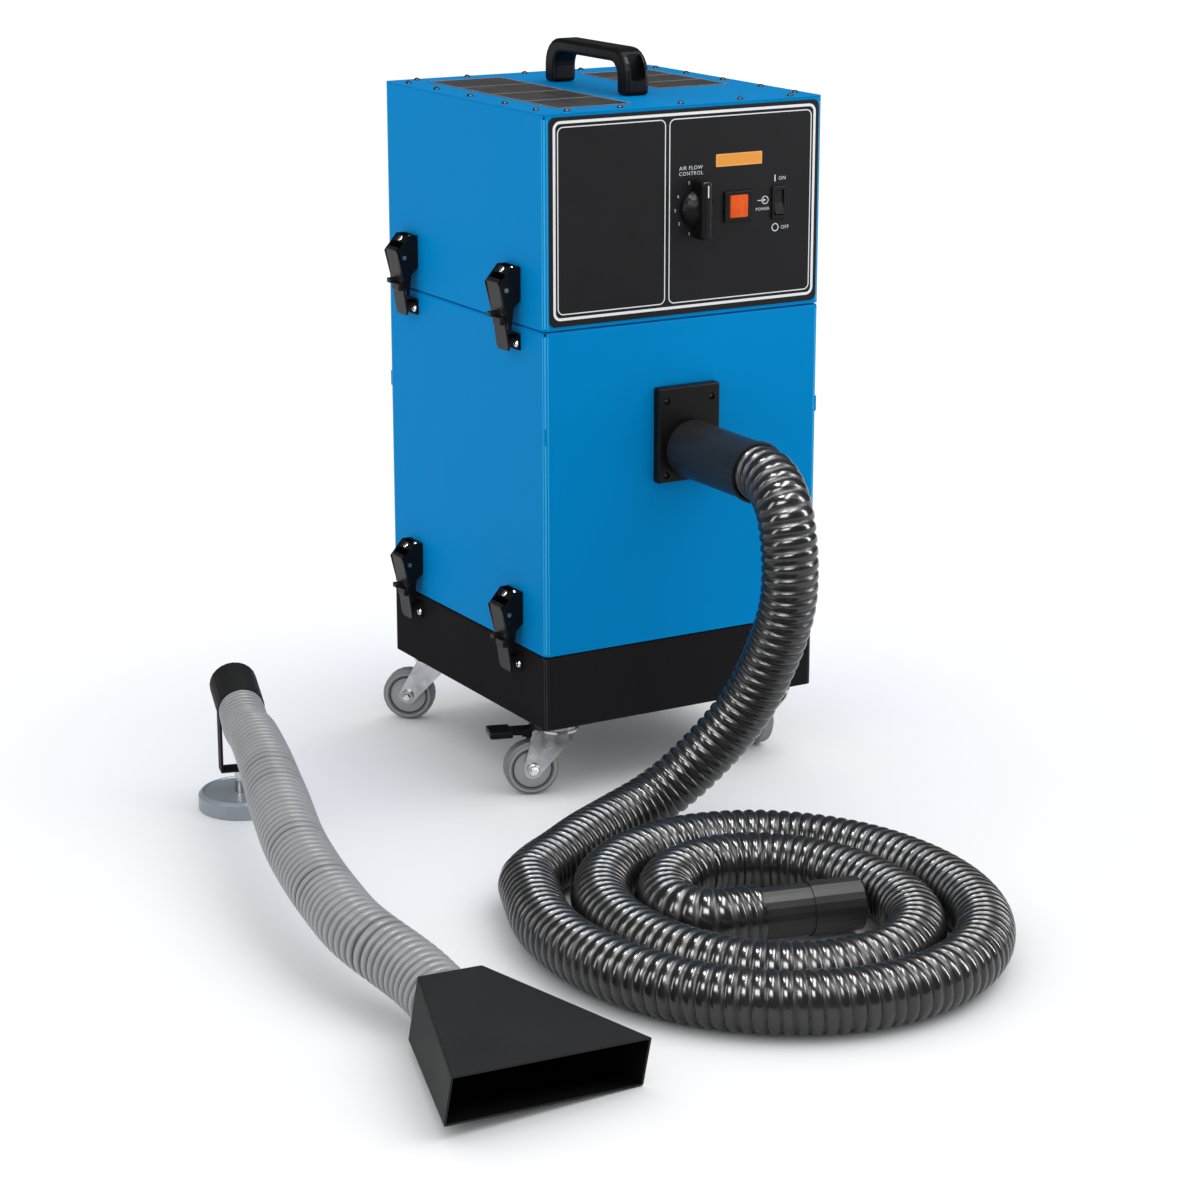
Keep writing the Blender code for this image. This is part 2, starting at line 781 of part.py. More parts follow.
def latch_profile():
    return [
        (0, LATCH_BASE_LOW),
        (0, LATCH_TOP),
        (-LATCH_TOP_FLAT, LATCH_TOP),
        (-LATCH_DEPTH, LATCH_SHOULDER),
        (-LATCH_FOOT_DEPTH, -LATCH_FOOT_DROP),
        (-LATCH_FOOT_BACK, -LATCH_FOOT_DROP),
        (-LATCH_WAIST_OUT, LATCH_WAIST_UP),
    ]


def latch_housing_shape():
    body = slab(latch_profile(), LATCH_WIDTH, FACE_FRONT)
    channel = block((LATCH_DEPTH + OVERRUN, LATCH_WIDTH - 2 * CHEEK, LATCH_TOP + LATCH_FOOT_DROP + 2 * OVERRUN),
                    (-LATCH_BACK - (LATCH_DEPTH + OVERRUN) / 2, 0, (LATCH_TOP - LATCH_FOOT_DROP) / 2))
    centre = (-PIVOT_OUT, 0, PIVOT_UP)
    pin = rod(PIVOT_PIN, LATCH_WIDTH, centre, FACE_FRONT, 12)
    reach = LATCH_WIDTH / 2 + PIVOT_HEAD_THICK / 2
    head_centres = [(-PIVOT_OUT, side * reach, PIVOT_UP) for side in (-1, 1)]
    heads = [rod(PIVOT_HEAD, PIVOT_HEAD_THICK + CHEEK, place, FACE_FRONT, 12) for place in head_centres]
    return merged(without(body, channel), pin, *heads)


def lever_out(up):
    """How far the lever's outer face stands from the wall at a height above the seam."""
    share = (PIVOT_UP / 2 - up) / (PIVOT_UP / 2 + LEVER_END_DROP)
    return LEVER_MID_OUT + (LEVER_END_OUT - LEVER_MID_OUT) * share


def lever_profile():
    """Side outline of the lever about its pivot: rolled top, blade running past its end, knuckle."""
    top = (PIVOT_OUT - LEVER_TOP_OUT + LEVER_ROLL, LEVER_TOP_UP - PIVOT_UP)
    middle = (PIVOT_OUT - LEVER_MID_OUT, -PIVOT_UP / 2)
    past = LEVER_END_DROP + OVERRUN
    end = (PIVOT_OUT - lever_out(-past), -PIVOT_UP - past)
    inner = [(x + LEVER_THICK, z) for x, z in (end, middle)]
    knuckle = arc((0, 0), KNUCKLE, radians(-120), radians(110), 8)
    return arc(top, LEVER_ROLL, radians(40), pi, 5) + [middle, end] + inner + knuckle


def catch_block(width, height, proud, up, aside):
    """Block standing out of the lever's face."""
    outer = PIVOT_OUT - lever_out(up) - proud
    return block((proud + CATCH_ROOT, width, height),
                 (outer + (proud + CATCH_ROOT) / 2, aside, up - PIVOT_UP), CATCH_ROUND, 1)


def lever_shape():
    width = LATCH_WIDTH - 2 * CHEEK - 2 * LEVER_SIDE_CLEARANCE
    low = -PIVOT_UP - LEVER_END_DROP
    high = LEVER_TOP_UP - PIVOT_UP + LEVER_ROLL + OVERRUN
    face = slab(rounded_rectangle(width, high - low, LEVER_CORNER), 4 * PIVOT_OUT, FACE_SIDE,
                (0, 0, (high + low) / 2))
    blade = common(slab(lever_profile(), width + OVERRUN, FACE_FRONT), face)
    bore = rod(PIVOT_PIN + RUNNING, width + OVERRUN, (0, 0, 0), FACE_FRONT, 12)
    catch = catch_block(CATCH_WIDTH, CATCH_HEIGHT, CATCH_PROUD, CATCH_UP, CATCH_ASIDE)
    tab = catch_block(TAB_WIDTH, TAB_HEIGHT, TAB_PROUD, TAB_UP, TAB_ASIDE)
    return merged(without(blade, bore), catch, tab)


def latches(level, seam):
    for corner, side, y in latch_places():
        turn = Matrix.Identity(4) if side < 0 else spin(pi, "Z")
        wall = side * (SIDE_X + GAP)
        housing = latch_housing_shape()
        add_piece(housing, "latch_housing_" + level + "_" + corner, "latch_black", (wall, y, seam), turn)
        pivot = (wall + side * PIVOT_OUT, y, seam + PIVOT_UP)
        add_piece(lever_shape(), "latch_lever_" + level + "_" + corner, "lever_grey", pivot, turn)


# Casters: each is built with its swivel axis on Z and its wheel trailing along +Y

def fork_top():
    return -PLATE_THICK - RACE_HEIGHT - GAP


def caster_plate(corner, x, y):
    """Top plate with its race, and the king pin that the fork turns on."""
    plate = slab(rounded_rectangle(PLATE_SIZE, PLATE_SIZE, PLATE_CORNER), PLATE_THICK,
                 centre=(0, 0, -PLATE_THICK / 2))
    bottom = -PLATE_THICK - RACE_HEIGHT
    race = rod(RACE_RADIUS, RACE_HEIGHT + PLATE_THICK / 2,
               (0, 0, bottom + (RACE_HEIGHT + PLATE_THICK / 2) / 2), sides=20, end_radius=RACE_TOP_RADIUS)
    pin_low = fork_top() - FORK_DISC_THICK - RUNNING - KING_PIN_HEAD_THICK
    pin = rod(KING_PIN, -pin_low - PLATE_THICK / 2, (0, 0, (pin_low - PLATE_THICK / 2) / 2), sides=12)
    head = rod(KING_PIN_HEAD, KING_PIN_HEAD_THICK, (0, 0, pin_low + KING_PIN_HEAD_THICK / 2), sides=12)
    add_piece(merged(plate, race, pin, head), "caster_plate_" + corner, "zinc", (x, y, TRAY_Z - GAP))


def axle_drop():
    return CASTER_HEIGHT - GAP - WHEEL_RADIUS


def pedal_pivot():
    return Vector((0, PEDAL_PIVOT_TRAIL, -PEDAL_PIVOT_DROP))


def leg_profile(braked):
    """Fork leg seen along the axle: wide at the race, round at the axle; a braked one has the pin's lug."""
    top = fork_top() - FORK_DISC_THICK / 2
    low = -axle_drop()
    half = FORK_LEG_TOP_WIDTH / 2
    round_end = arc((TRAIL, low), FORK_LEG_END, radians(-150), radians(20), 8)
    pivot = pedal_pivot()
    lug = arc((pivot.y, pivot.z), PEDAL_LUG, radians(-20), radians(90), 5) if braked else []
    return [(-half, top), (-half + FORK_LEG_END / 2, top - FORK_LEG_END)] + round_end + lug + [(half, top)]


def fork_shape(braked):
    top = fork_top()
    disc = rod(FORK_DISC_RADIUS, FORK_DISC_THICK, (0, 0, top - FORK_DISC_THICK / 2))
    side = WHEEL_WIDTH / 2 + WHEEL_SIDE_CLEARANCE + FORK_LEG_THICK / 2
    legs = [slab(leg_profile(braked), FORK_LEG_THICK, FACE_SIDE, (x, 0, 0)) for x in (-side, side)]
    reach = 2 * (side + FORK_LEG_THICK / 2)
    low = -axle_drop()
    axle = rod(AXLE_RADIUS, reach, (0, TRAIL, low), ALONG_X, 12)
    head_x = reach / 2 + AXLE_HEAD_THICK / 2 - FORK_LEG_THICK / 2
    bolts = [rod(AXLE_HEAD_RADIUS, AXLE_HEAD_THICK + FORK_LEG_THICK, (x, TRAIL, low), ALONG_X, 6)
             for x in (-head_x, head_x)]
    extra = [rod(PEDAL_PIN, reach, pedal_pivot(), ALONG_X, 12)] if braked else []
    hole = rod(KING_PIN + RUNNING, FORK_DISC_THICK + OVERRUN, (0, 0, top - FORK_DISC_THICK / 2), sides=12)
    return without(merged(disc, *legs, axle, *bolts, *extra), hole)


def wheel_shape():
    half = WHEEL_WIDTH / 2
    tyre = WHEEL_RADIUS - TYRE_DEPTH
    bore = AXLE_RADIUS + RUNNING
    profile = [
        (bore, half), (HUB_BOSS_RADIUS, half), (HUB_BOSS_RADIUS + HUB_RECESS, half - HUB_RECESS),
        (tyre, half - HUB_RECESS), (tyre + HUB_RECESS, half - TREAD_EDGE),
        (WHEEL_RADIUS - TREAD_ROUND, half - TREAD_EDGE), (WHEEL_RADIUS, half - TREAD_ROUND),
    ]
    mirrored = [(r, -z) for r, z in reversed(profile)]
    return moved(turned(profile + mirrored, 24, closed=True), turn=ALONG_X)


def pedal_shape():
    """Brake pedal about its pin: knuckle, arm with the brake shoe under it, then a wide pad."""
    arm_end = PEDAL_REACH - PEDAL_PIVOT_TRAIL - PEDAL_PAD_LENGTH
    under = PEDAL_KNUCKLE - PEDAL_THICK
    reach = arm_end + PEDAL_PAD_LENGTH / 3
    outline = arc((0, 0), PEDAL_KNUCKLE, radians(90), radians(300), 8) + [(reach, under), (reach, PEDAL_KNUCKLE)]
    arm = slab(outline, PEDAL_ARM_WIDTH, FACE_SIDE)
    shoe = block((SHOE_WIDTH, SHOE_LENGTH, SHOE_DEPTH),
                 (0, SHOE_START + SHOE_LENGTH / 2, PEDAL_KNUCKLE / 2 - SHOE_DEPTH / 2))
    pad = block((PEDAL_PAD_WIDTH, PEDAL_PAD_LENGTH, PEDAL_PAD_THICK),
                (0, arm_end + PEDAL_PAD_LENGTH / 2, PEDAL_KNUCKLE + PEDAL_PAD_RISE - PEDAL_PAD_THICK / 2),
                PEDAL_ROUND, 2)
    bore = rod(PEDAL_PIN + RUNNING, PEDAL_ARM_WIDTH + OVERRUN, (0, 0, 0), ALONG_X, 12)
    return without(merged(arm, shoe, pad), bore)


def casters():
    x = SIDE_X - CASTER_INSET_X
    y = BOX_DEPTH / 2 - CASTER_INSET_Y
    for corner, angle in CASTER_TURNS.items():
        place = Vector((x if corner[1] == "r" else -x, y if corner[0] == "r" else -y, TRAY_Z - GAP))
        caster_plate(corner, place.x, place.y)
        turn = spin(angle, "Z")
        braked = corner[0] == "f"
        add_piece(fork_shape(braked), "caster_fork_" + corner, "zinc", place, turn)
        hub = place + turn @ Vector((0, TRAIL, -axle_drop()))
        add_piece(wheel_shape(), "caster_wheel_" + corner, "wheel_grey", hub, turn)
        if braked:
            pivot = place + turn @ pedal_pivot()
            add_piece(pedal_shape(), "brake_pedal_" + corner, "moulded_black", pivot, turn)


# Inlet and its cuff

def inlet_flange():
    rounded = block((FLANGE_WIDTH, 2 * FLANGE_THICK, FLANGE_HEIGHT), (0, 0, FLANGE_RISE), FLANGE_ROUND, 2)
    behind = block((FLANGE_WIDTH + OVERRUN, FLANGE_THICK + OVERRUN, FLANGE_HEIGHT + OVERRUN),
                   (0, (FLANGE_THICK + OVERRUN) / 2, FLANGE_RISE))
    reach = FLANGE_THICK + SPIGOT_LENGTH
    spigot = rod(SPIGOT_RADIUS, reach - SHEET, (0, -(reach + SHEET) / 2, 0), FACE_FRONT, 32)
    piece = merged(without(rounded, behind), spigot)
    tools = [rod(INLET_BORE, 2 * (reach + OVERRUN), (0, 0, 0), FACE_FRONT, 32)]
    for x in (-FLANGE_HOLE_X, FLANGE_HOLE_X):
        for z in (-FLANGE_HOLE_Z, FLANGE_HOLE_Z):
            place = (x, -FLANGE_THICK, FLANGE_RISE - FLANGE_HOLE_DROP + z)
            tools.append(rod(FLANGE_HOLE_RADIUS, 2 * FLANGE_HOLE_DEPTH, place, FACE_FRONT, 12))
    add_piece(without(piece, *tools), "inlet_flange", "moulded_black", (0, FRONT_Y - GAP, INLET_Z))


def inlet_cuff():
    """Moulded sleeve: pushed over the spigot at one end, holding the hose in its mouth at the other."""
    fit = SPIGOT_RADIUS + CUFF_FIT
    spigot_end = SPIGOT_LENGTH - CUFF_STANDOFF + GAP
    mouth = CUFF_LENGTH
    hose = HOSE_RADIUS + CUFF_FIT
    profile = [
        (CUFF_RADIUS, mouth - CUFF_LIP), (CUFF_RADIUS, 0), (fit, 0), (fit, spigot_end),
        (INLET_BORE, spigot_end), (INLET_BORE, mouth - HOSE_INSERT), (hose, mouth - HOSE_INSERT),
        (hose, mouth), (CUFF_LIP_RADIUS, mouth), (CUFF_LIP_RADIUS, mouth - CUFF_LIP),
    ]
    place = (0, FRONT_Y - GAP - FLANGE_THICK - CUFF_STANDOFF, INLET_Z)
    add_piece(turned(profile, 28, closed=True), "hose_inlet_cuff", "moulded_black", place, FACE_FRONT)


# Control panel

def panel_holes():
    """Cutters for the bush, the lamp and the switch through any sheet at y = 0."""
    depth = 2 * (SHEET + OVERRUN)
    room = 2 * CUTOUT_CLEARANCE
    return [
        rod(BUSH_RADIUS + CUTOUT_CLEARANCE, depth, (KNOB_X, 0, KNOB_Z), FACE_FRONT, 16),
        block((LAMP_BODY + room, depth, LAMP_BODY + room), (LAMP_X, 0, LAMP_Z)),
        block((SWITCH_BODY_WIDTH + room, depth, SWITCH_BODY_HEIGHT + room), (SWITCH_X, 0, SWITCH_Z)),
    ]


def panel_face():
    return FRONT_Y - GAP - PANEL_SHEET


def control_panel():
    plate = slab(rounded_rectangle(PANEL_WIDTH, PANEL_HEIGHT, PANEL_CORNER), PANEL_SHEET, FACE_FRONT,
                 (0, 0, HEAD_Z + HEAD_HEIGHT / 2))
    centre = FRONT_Y - GAP - PANEL_SHEET / 2
    add_piece(without(plate, *panel_holes()), "control_panel", "panel_black", (0, centre, 0))


def airflow_knob():
    angles = [pi / 2 * (1 - i / KNOB_DOME_STEPS) for i in range(KNOB_DOME_STEPS)]
    dome = [(KNOB_HUB_RADIUS * cos(angle), KNOB_HUB_DEPTH * sin(angle)) for angle in angles[1:]]
    hub = turned([(0, KNOB_HUB_DEPTH)] + dome + [(KNOB_HUB_RADIUS, 0), (0, 0)], 32)
    bar = block((KNOB_BAR_WIDTH, KNOB_BAR_HEIGHT, KNOB_BAR_DEPTH), (0, 0, KNOB_BAR_DEPTH / 2), KNOB_BAR_ROUND, 3)
    reach = KNOB_STANDOFF + SHAFT_REACH
    shaft = rod(SHAFT_RADIUS, reach + KNOB_HUB_DEPTH / 2, (0, 0, (KNOB_HUB_DEPTH / 2 - reach) / 2), sides=12)
    place = (KNOB_X, panel_face() - KNOB_STANDOFF, KNOB_Z)
    add_piece(merged(hub, bar, shaft), "airflow_knob", "moulded_black", place, FACE_FRONT)


def speed_control():
    back = FRONT_Y + SHEET + GAP
    body = block((CONTROL_SIZE, CONTROL_DEPTH, CONTROL_SIZE), (0, CONTROL_DEPTH / 2, 0))
    bush_reach = back - panel_face()
    bush = rod(BUSH_RADIUS, bush_reach + CONTROL_DEPTH / 2, (0, (CONTROL_DEPTH / 2 - bush_reach) / 2, 0),
               FACE_FRONT, 16)
    bore = rod(SHAFT_RADIUS + RUNNING, 2 * SHAFT_REACH, (0, -bush_reach + OVERRUN / 2, 0), FACE_FRONT, 12)
    add_piece(without(merged(body, bush), bore), "speed_control", "moulded_black", (KNOB_X, back, KNOB_Z))


def framed_body(width, height, depth, body_width, body_height, body_depth, round_by):
    """Front frame with a narrower body behind it; its back plane lies on the panel at y = 0."""
    front = block((width, 2 * depth, height), (0, 0, 0), round_by, 2)
    behind = block((width + OVERRUN, depth + OVERRUN, height + OVERRUN), (0, (depth + OVERRUN) / 2, 0))
    body = block((body_width, body_depth + depth / 2, body_height), (0, (body_depth - depth / 2) / 2, 0))
    return merged(without(front, behind), body)


def lamp():
    place = (LAMP_X, panel_face() - GAP, LAMP_Z)
    bezel = framed_body(BEZEL_WIDTH, BEZEL_HEIGHT, BEZEL_DEPTH, LAMP_BODY, LAMP_BODY, LAMP_BODY_DEPTH,
                        BEZEL_ROUND)
    pocket = block((LENS_WIDTH + 2 * GAP, LENS_DEPTH, LENS_HEIGHT + 2 * GAP),
                   (0, -BEZEL_DEPTH - LENS_PROUD - GAP + LENS_DEPTH / 2 + 2 * GAP, 0))
    add_piece(without(bezel, pocket), "lamp_bezel", "moulded_black", place)
    lens = block((LENS_WIDTH, LENS_DEPTH, LENS_HEIGHT), (0, -BEZEL_DEPTH - LENS_PROUD + LENS_DEPTH / 2 - GAP, 0),
                 LENS_ROUND, 2)
    add_piece(lens, "lamp_lens", "lens_orange", place)


def rocker_pivot():
    return panel_face() - GAP - SWITCH_FLANGE + ROCKER_PEAK


def power_switch():
    place = (SWITCH_X, panel_face() - GAP, SWITCH_Z)
    housing = framed_body(SWITCH_WIDTH, SWITCH_HEIGHT, SWITCH_FLANGE, SWITCH_BODY_WIDTH, SWITCH_BODY_HEIGHT,
                          SWITCH_BODY_DEPTH, SWITCH_FLANGE / 2)
    pocket = block((ROCKER_WIDTH + 2 * ROCKER_SIDE_CLEARANCE, 2 * ROCKER_POCKET_DEPTH,
                    ROCKER_HEIGHT + 2 * ROCKER_END_CLEARANCE), (0, -SWITCH_FLANGE, 0))
    add_piece(without(housing, pocket), "switch_housing", "moulded_black", place)
    half = ROCKER_HEIGHT / 2
    outline = [(ROCKER_DEPTH - ROCKER_PEAK, -half / 2), (0, -half), (-ROCKER_PEAK, -half), (-ROCKER_PEAK / 2, 0),
               (-ROCKER_PEAK, half), (0, half), (ROCKER_DEPTH - ROCKER_PEAK, half / 2)]
    rocker = slab(outline, ROCKER_WIDTH, FACE_SIDE)
    turn = spin(-ROCKER_TILT, "X")
    add_piece(rocker, "switch_rocker", "latch_black", (SWITCH_X, rocker_pivot(), SWITCH_Z), turn)


# Carry handle

def handle_outline():
    half = HANDLE_LENGTH / 2
    top = HANDLE_HEIGHT
    inner = half - HANDLE_LEG
    under = top - HANDLE_BAR
    outer = arc((half - HANDLE_SHOULDER, top - HANDLE_SHOULDER), HANDLE_SHOULDER, 0, pi / 2, 6)
    gap = arc((inner - HANDLE_INNER_ROUND, under - HANDLE_INNER_ROUND), HANDLE_INNER_ROUND, 0, pi / 2, 5)
    right = [(half, 0)] + outer
    left = [(-x, y) for x, y in reversed(right)]
    inside_left = [(-x, y) for x, y in gap]
    return right + left + [(-inner, 0)] + inside_left + list(reversed(gap)) + [(inner, 0)]


def carry_handle():
    """Moulded grip with a hollow in each end of its legs."""
    bar = slab(handle_outline(), HANDLE_WIDTH, FACE_SIDE)
    thing = temporary(bar)
    soft = thing.modifiers.new("soften", "BEVEL")
    soft.width = HANDLE_ROUND
    soft.segments = 3
    soft.limit_method = "ANGLE"
    soft.angle_limit = radians(60)
    middle = (POCKET_HIGH + POCKET_LOW) / 2
    tools = []
    for side in (-1, 1):
        pocket = rounded_rectangle(POCKET_WIDTH, POCKET_HIGH - POCKET_LOW, POCKET_ROUND)
        tools.append(slab(pocket, 2 * POCKET_DEPTH, FACE_FRONT, (0, side * HANDLE_LENGTH / 2, middle)))
    place = (HANDLE_X, HANDLE_Y, TOP_Z + GAP)
    add_piece(without(evaluated(thing), *tools), "carry_handle", "moulded_black", place)


# Filter, fan and motor

def filter_cartridge():
    width = BOX_WIDTH - 2 * (SHEET + FILTER_CLEARANCE)
    depth = BOX_DEPTH - 2 * (SHEET + FILTER_CLEARANCE)
    inner_width = width - 2 * FILTER_FRAME
    inner_depth = depth - 2 * FILTER_FRAME
    frame = without(block((width, depth, FILTER_HEIGHT), (0, 0, FILTER_HEIGHT / 2)),
                    block((inner_width, inner_depth, FILTER_HEIGHT + OVERRUN), (0, 0, FILTER_HEIGHT / 2)))
    low = PLEAT_EDGE_CLEARANCE
    high = FILTER_HEIGHT - PLEAT_EDGE_CLEARANCE
    pitch = (inner_width + FILTER_FRAME) / PLEATS
    start = -(inner_width + FILTER_FRAME) / 2
    upper = []
    lower = []
    for index in range(2 * PLEATS + 1):
        x = start + index * pitch / 2
        crest = index % 2
        upper.append((x, high if crest else low + 2 * PLEAT_THICK))
        lower.append((x, high - 2 * PLEAT_THICK if crest else low))
    pleats = slab(upper + list(reversed(lower)), inner_depth + FILTER_FRAME, FACE_FRONT)
    low_z = CABINET_Z + filter_ledge() + GAP
    add_piece(merged(frame, pleats), "filter_cartridge", "filter_media", (0, 0, low_z), smooth=False)


def fan_plate_low():
    return HEAD_Z + SHEET + GAP


def fan_plate_top():
    return fan_plate_low() + FAN_PLATE_SHEET


def motor_flange_low():
    return fan_plate_top() + 2 * IMPELLER_CLEARANCE + IMPELLER_HEIGHT


def blower_plate():
    """Floor of the head with the fan's eye, its lip standing up toward the impeller."""
    width = BOX_WIDTH - 2 * (SHEET + FAN_PLATE_CLEARANCE)
    depth = BOX_DEPTH - 2 * (SHEET + FAN_PLATE_CLEARANCE)
    plate = block((width, depth, FAN_PLATE_SHEET), (0, 0, FAN_PLATE_SHEET / 2))
    high = FAN_PLATE_SHEET + IMPELLER_CLEARANCE - GAP
    inner = FAN_EYE - FAN_PLATE_SHEET
    ring = turned([(FAN_EYE, high), (FAN_EYE, 0), (inner, 0), (inner, high)], 28, closed=True)
    eye = rod(inner, FAN_PLATE_SHEET + OVERRUN, (0, 0, 0), sides=28)
    shape = merged(without(plate, eye), ring)
    add_piece(shape, "blower_plate", "zinc", (0, 0, fan_plate_low()))


def blade_outline():
    """Backward-curved blade between the eye and the rim, as a thin band along a circular arc."""
    inner = FAN_EYE
    outer = IMPELLER_RADIUS - BLADE_INSET
    steps = 6
    middle = []
    for i in range(steps + 1):
        share = i / steps
        radius = inner + (outer - inner) * share
        angle = -BLADE_CURVE * share * (1 + share) / 2
        middle.append(Vector((radius * cos(angle), radius * sin(angle))))
    left = []
    right = []
    for i, point in enumerate(middle):
        ahead = middle[min(i + 1, steps)] - middle[max(i - 1, 0)]
        side = Vector((-ahead.y, ahead.x)).normalized() * BLADE_THICK / 2
        left.append(tuple(point + side))
        right.append(tuple(point - side))
    return left + list(reversed(right))


def impeller():
    height = IMPELLER_HEIGHT
    top = rod(IMPELLER_RADIUS, IMPELLER_DISC, (0, 0, height - IMPELLER_DISC / 2), sides=36)
    ring = without(rod(IMPELLER_RADIUS, IMPELLER_DISC, (0, 0, IMPELLER_DISC / 2), sides=36),
                   rod(FAN_EYE + BLADE_THICK, IMPELLER_DISC + OVERRUN, (0, 0, 0), sides=36))
    hub = rod(IMPELLER_HUB_RADIUS, IMPELLER_HUB_HEIGHT, (0, 0, height - IMPELLER_HUB_HEIGHT / 2), sides=24)
    blades = [slab(blade_outline(), height - IMPELLER_DISC, spin(2 * pi * i / BLADES, "Z"), (0, 0, height / 2))
              for i in range(BLADES)]
    bore = rod(MOTOR_SHAFT + SHAFT_RUNNING, 2 * height, (0, 0, height), sides=16)
    shape = without(merged(top, ring, hub, *blades), bore)
    add_piece(shape, "impeller", "motor_grey", (0, 0, fan_plate_top() + IMPELLER_CLEARANCE))


def blower_motor():
    low = motor_flange_low()
    flange = MOTOR_FLANGE_THICK
    body_top = flange + MOTOR_HEIGHT
    profile = [
        (0, body_top + MOTOR_CAP_HEIGHT), (MOTOR_CAP_RADIUS, body_top + MOTOR_CAP_HEIGHT),
        (MOTOR_CAP_RADIUS + MOTOR_FLANGE_THICK, body_top), (MOTOR_RADIUS, body_top - MOTOR_FLANGE_THICK),
        (MOTOR_RADIUS, flange), (MOTOR_FLANGE_RADIUS, flange), (MOTOR_FLANGE_RADIUS, 0), (0, 0),
    ]
    body = turned(profile, 28)
    shaft_length = IMPELLER_CLEARANCE + IMPELLER_HUB_HEIGHT
    shaft = rod(MOTOR_SHAFT, shaft_length + flange, (0, 0, (flange - shaft_length) / 2), sides=16)
    leg_length = low - fan_plate_top() - GAP
    legs = []
    for index in range(4):
        angle = pi / 4 + index * pi / 2
        place = (MOTOR_LEG_CIRCLE * cos(angle), MOTOR_LEG_CIRCLE * sin(angle), (flange / 2 - leg_length) / 2)
        legs.append(rod(MOTOR_LEG_RADIUS, leg_length + flange / 2, place, sides=12))
    add_piece(merged(body, shaft, *legs), "blower_motor", "motor_grey", (0, 0, low))


# Hoses

def ribbed(points, radius, valley_depth, bore, start_share=1, swell_share=1):
    """Ribbed hose along evenly spaced points, crest and valley in turn, with a plain bore cut out.

    It may start narrower, and grow to its full radius over a share of its length.
    """
    low = 1 - valley_depth / radius
    last = len(points) - 1
    radii = []
    for index in range(len(points)):
        grown = min(1, index / (last * swell_share))
        radii.append((start_share + (1 - start_share) * grown) * (1 if index % 2 else low))
    outside = tube(points, radius, radii)
    inner = points[::4] + ([points[-1]] if last % 4 else [])
    before = points[0] - (points[1] - points[0]).normalized() * OVERRUN
    after = points[-1] + (points[-1] - points[-2]).normalized() * OVERRUN
    return without(outside, tube([before] + inner[1:-1] + [after], bore))


def on_coil(angle):
    """Place on the coil's slightly oval inward spiral."""
    turns = (angle - COIL_START) / (2 * pi)
    radius = COIL_RADIUS - COIL_PITCH * turns + COIL_OVAL * cos(2 * (angle - COIL_OVAL_ANGLE))
    return Vector((*COIL_CENTRE, HOSE_AXIS_Z)) + radius * flat_heading(angle)


def coil_heading(angle):
    ahead = on_coil(angle + FLAT) - on_coil(angle - FLAT)
    return atan2(ahead.y, ahead.x)


def coil_points():
    """Floor coil: straight start, inward spiral, tight tail and straight end."""
    count = ceil((COIL_END - COIL_START) / (2 * pi) * COIL_STEPS_PER_TURN)
    spiral = [on_coil(COIL_START + (COIL_END - COIL_START) * i / count) for i in range(count + 1)]
    begin = flat_heading(coil_heading(COIL_START))
    lead = [spiral[0] - begin * HOSE_RADIUS]
    heading = coil_heading(COIL_END)
    turn_left = (COIL_TAIL_HEADING - heading) % (2 * pi)
    hub = spiral[-1] + COIL_TAIL_RADIUS * flat_heading(heading + pi / 2)
    steps = 7
    tail = [hub + COIL_TAIL_RADIUS * flat_heading(heading - pi / 2 + turn_left * i / steps)
            for i in range(1, steps + 1)]
    finish = flat_heading(COIL_TAIL_HEADING)
    end = [tail[-1] + finish * HOSE_RADIUS]
    return lead + spiral + tail + end, begin, finish


def least_gap(points, radius):
    """Smallest clear distance between stretches of the coil that lie more than a half turn apart."""
    fine = []
    for a, b in zip(points, points[1:]):
        parts = max(1, ceil((b - a).length / radius))
        fine += [a.lerp(b, i / parts) for i in range(parts)]
    along = [0]
    for a, b in zip(fine, fine[1:]):
        along.append(along[-1] + (b - a).length)
    apart = 8 * radius
    best = min((a - b).length for i, a in enumerate(fine) for j, b in enumerate(fine) if along[j] - along[i] > apart)
    return best - 2 * radius


def hose():
    coil, begin, finish = coil_points()
    print("coil's least gap to itself, mm:", round(least_gap(coil, HOSE_RADIUS) * 1000, 2))
    add_piece(tube(coil, HOSE_RADIUS, sides=1), "hose_coil", "hose_black")
    join_at = coil[0] - begin * GAP
    cuff_end = FRONT_Y - GAP - FLANGE_THICK - CUFF_STANDOFF - CUFF_LENGTH
    start = Vector((0, cuff_end + HOSE_INSERT - GAP, INLET_Z))
    route = [start, start + Vector((0, -HOSE_RADIUS, 0))]
    route += [Vector((x, y, HOSE_AXIS_Z + rise)) for x, y, rise in HOSE_ROUTE]
    route += [join_at - begin * HOSE_RADIUS, join_at]
    points = smooth_route(route, HOSE_PITCH / 2)
    print("hose run length, m:", round(route_length(points), 3), "points:", len(points))
    print("coil length, m:", round(route_length(coil), 3))
    add_piece(ribbed(points, HOSE_RADIUS, HOSE_VALLEY_DEPTH, HOSE_BORE), "hose_run", "hose_black")
    end_cuff(coil[-1] + finish * GAP, finish)


def end_cuff(start, heading):
    profile = [
        (END_CUFF_STEP_RADIUS, END_CUFF_LENGTH), (END_CUFF_STEP_RADIUS, END_CUFF_STEP_AT),
        (END_CUFF_RADIUS, END_CUFF_STEP_AT), (END_CUFF_RADIUS, 0), (END_CUFF_BORE, 0),
        (END_CUFF_BORE, END_CUFF_LENGTH),
    ]
    turn = heading.to_track_quat("Z", "Y").to_matrix().to_4x4()
    add_piece(turned(profile, 24, closed=True), "hose_end_cuff", "moulded_black", start, turn)


# Hood, its hose and its stand

def hood_frame():
    return spin(HOOD_YAW, "Z") @ spin(HOOD_PITCH, "X") @ spin(HOOD_ROLL, "Y")


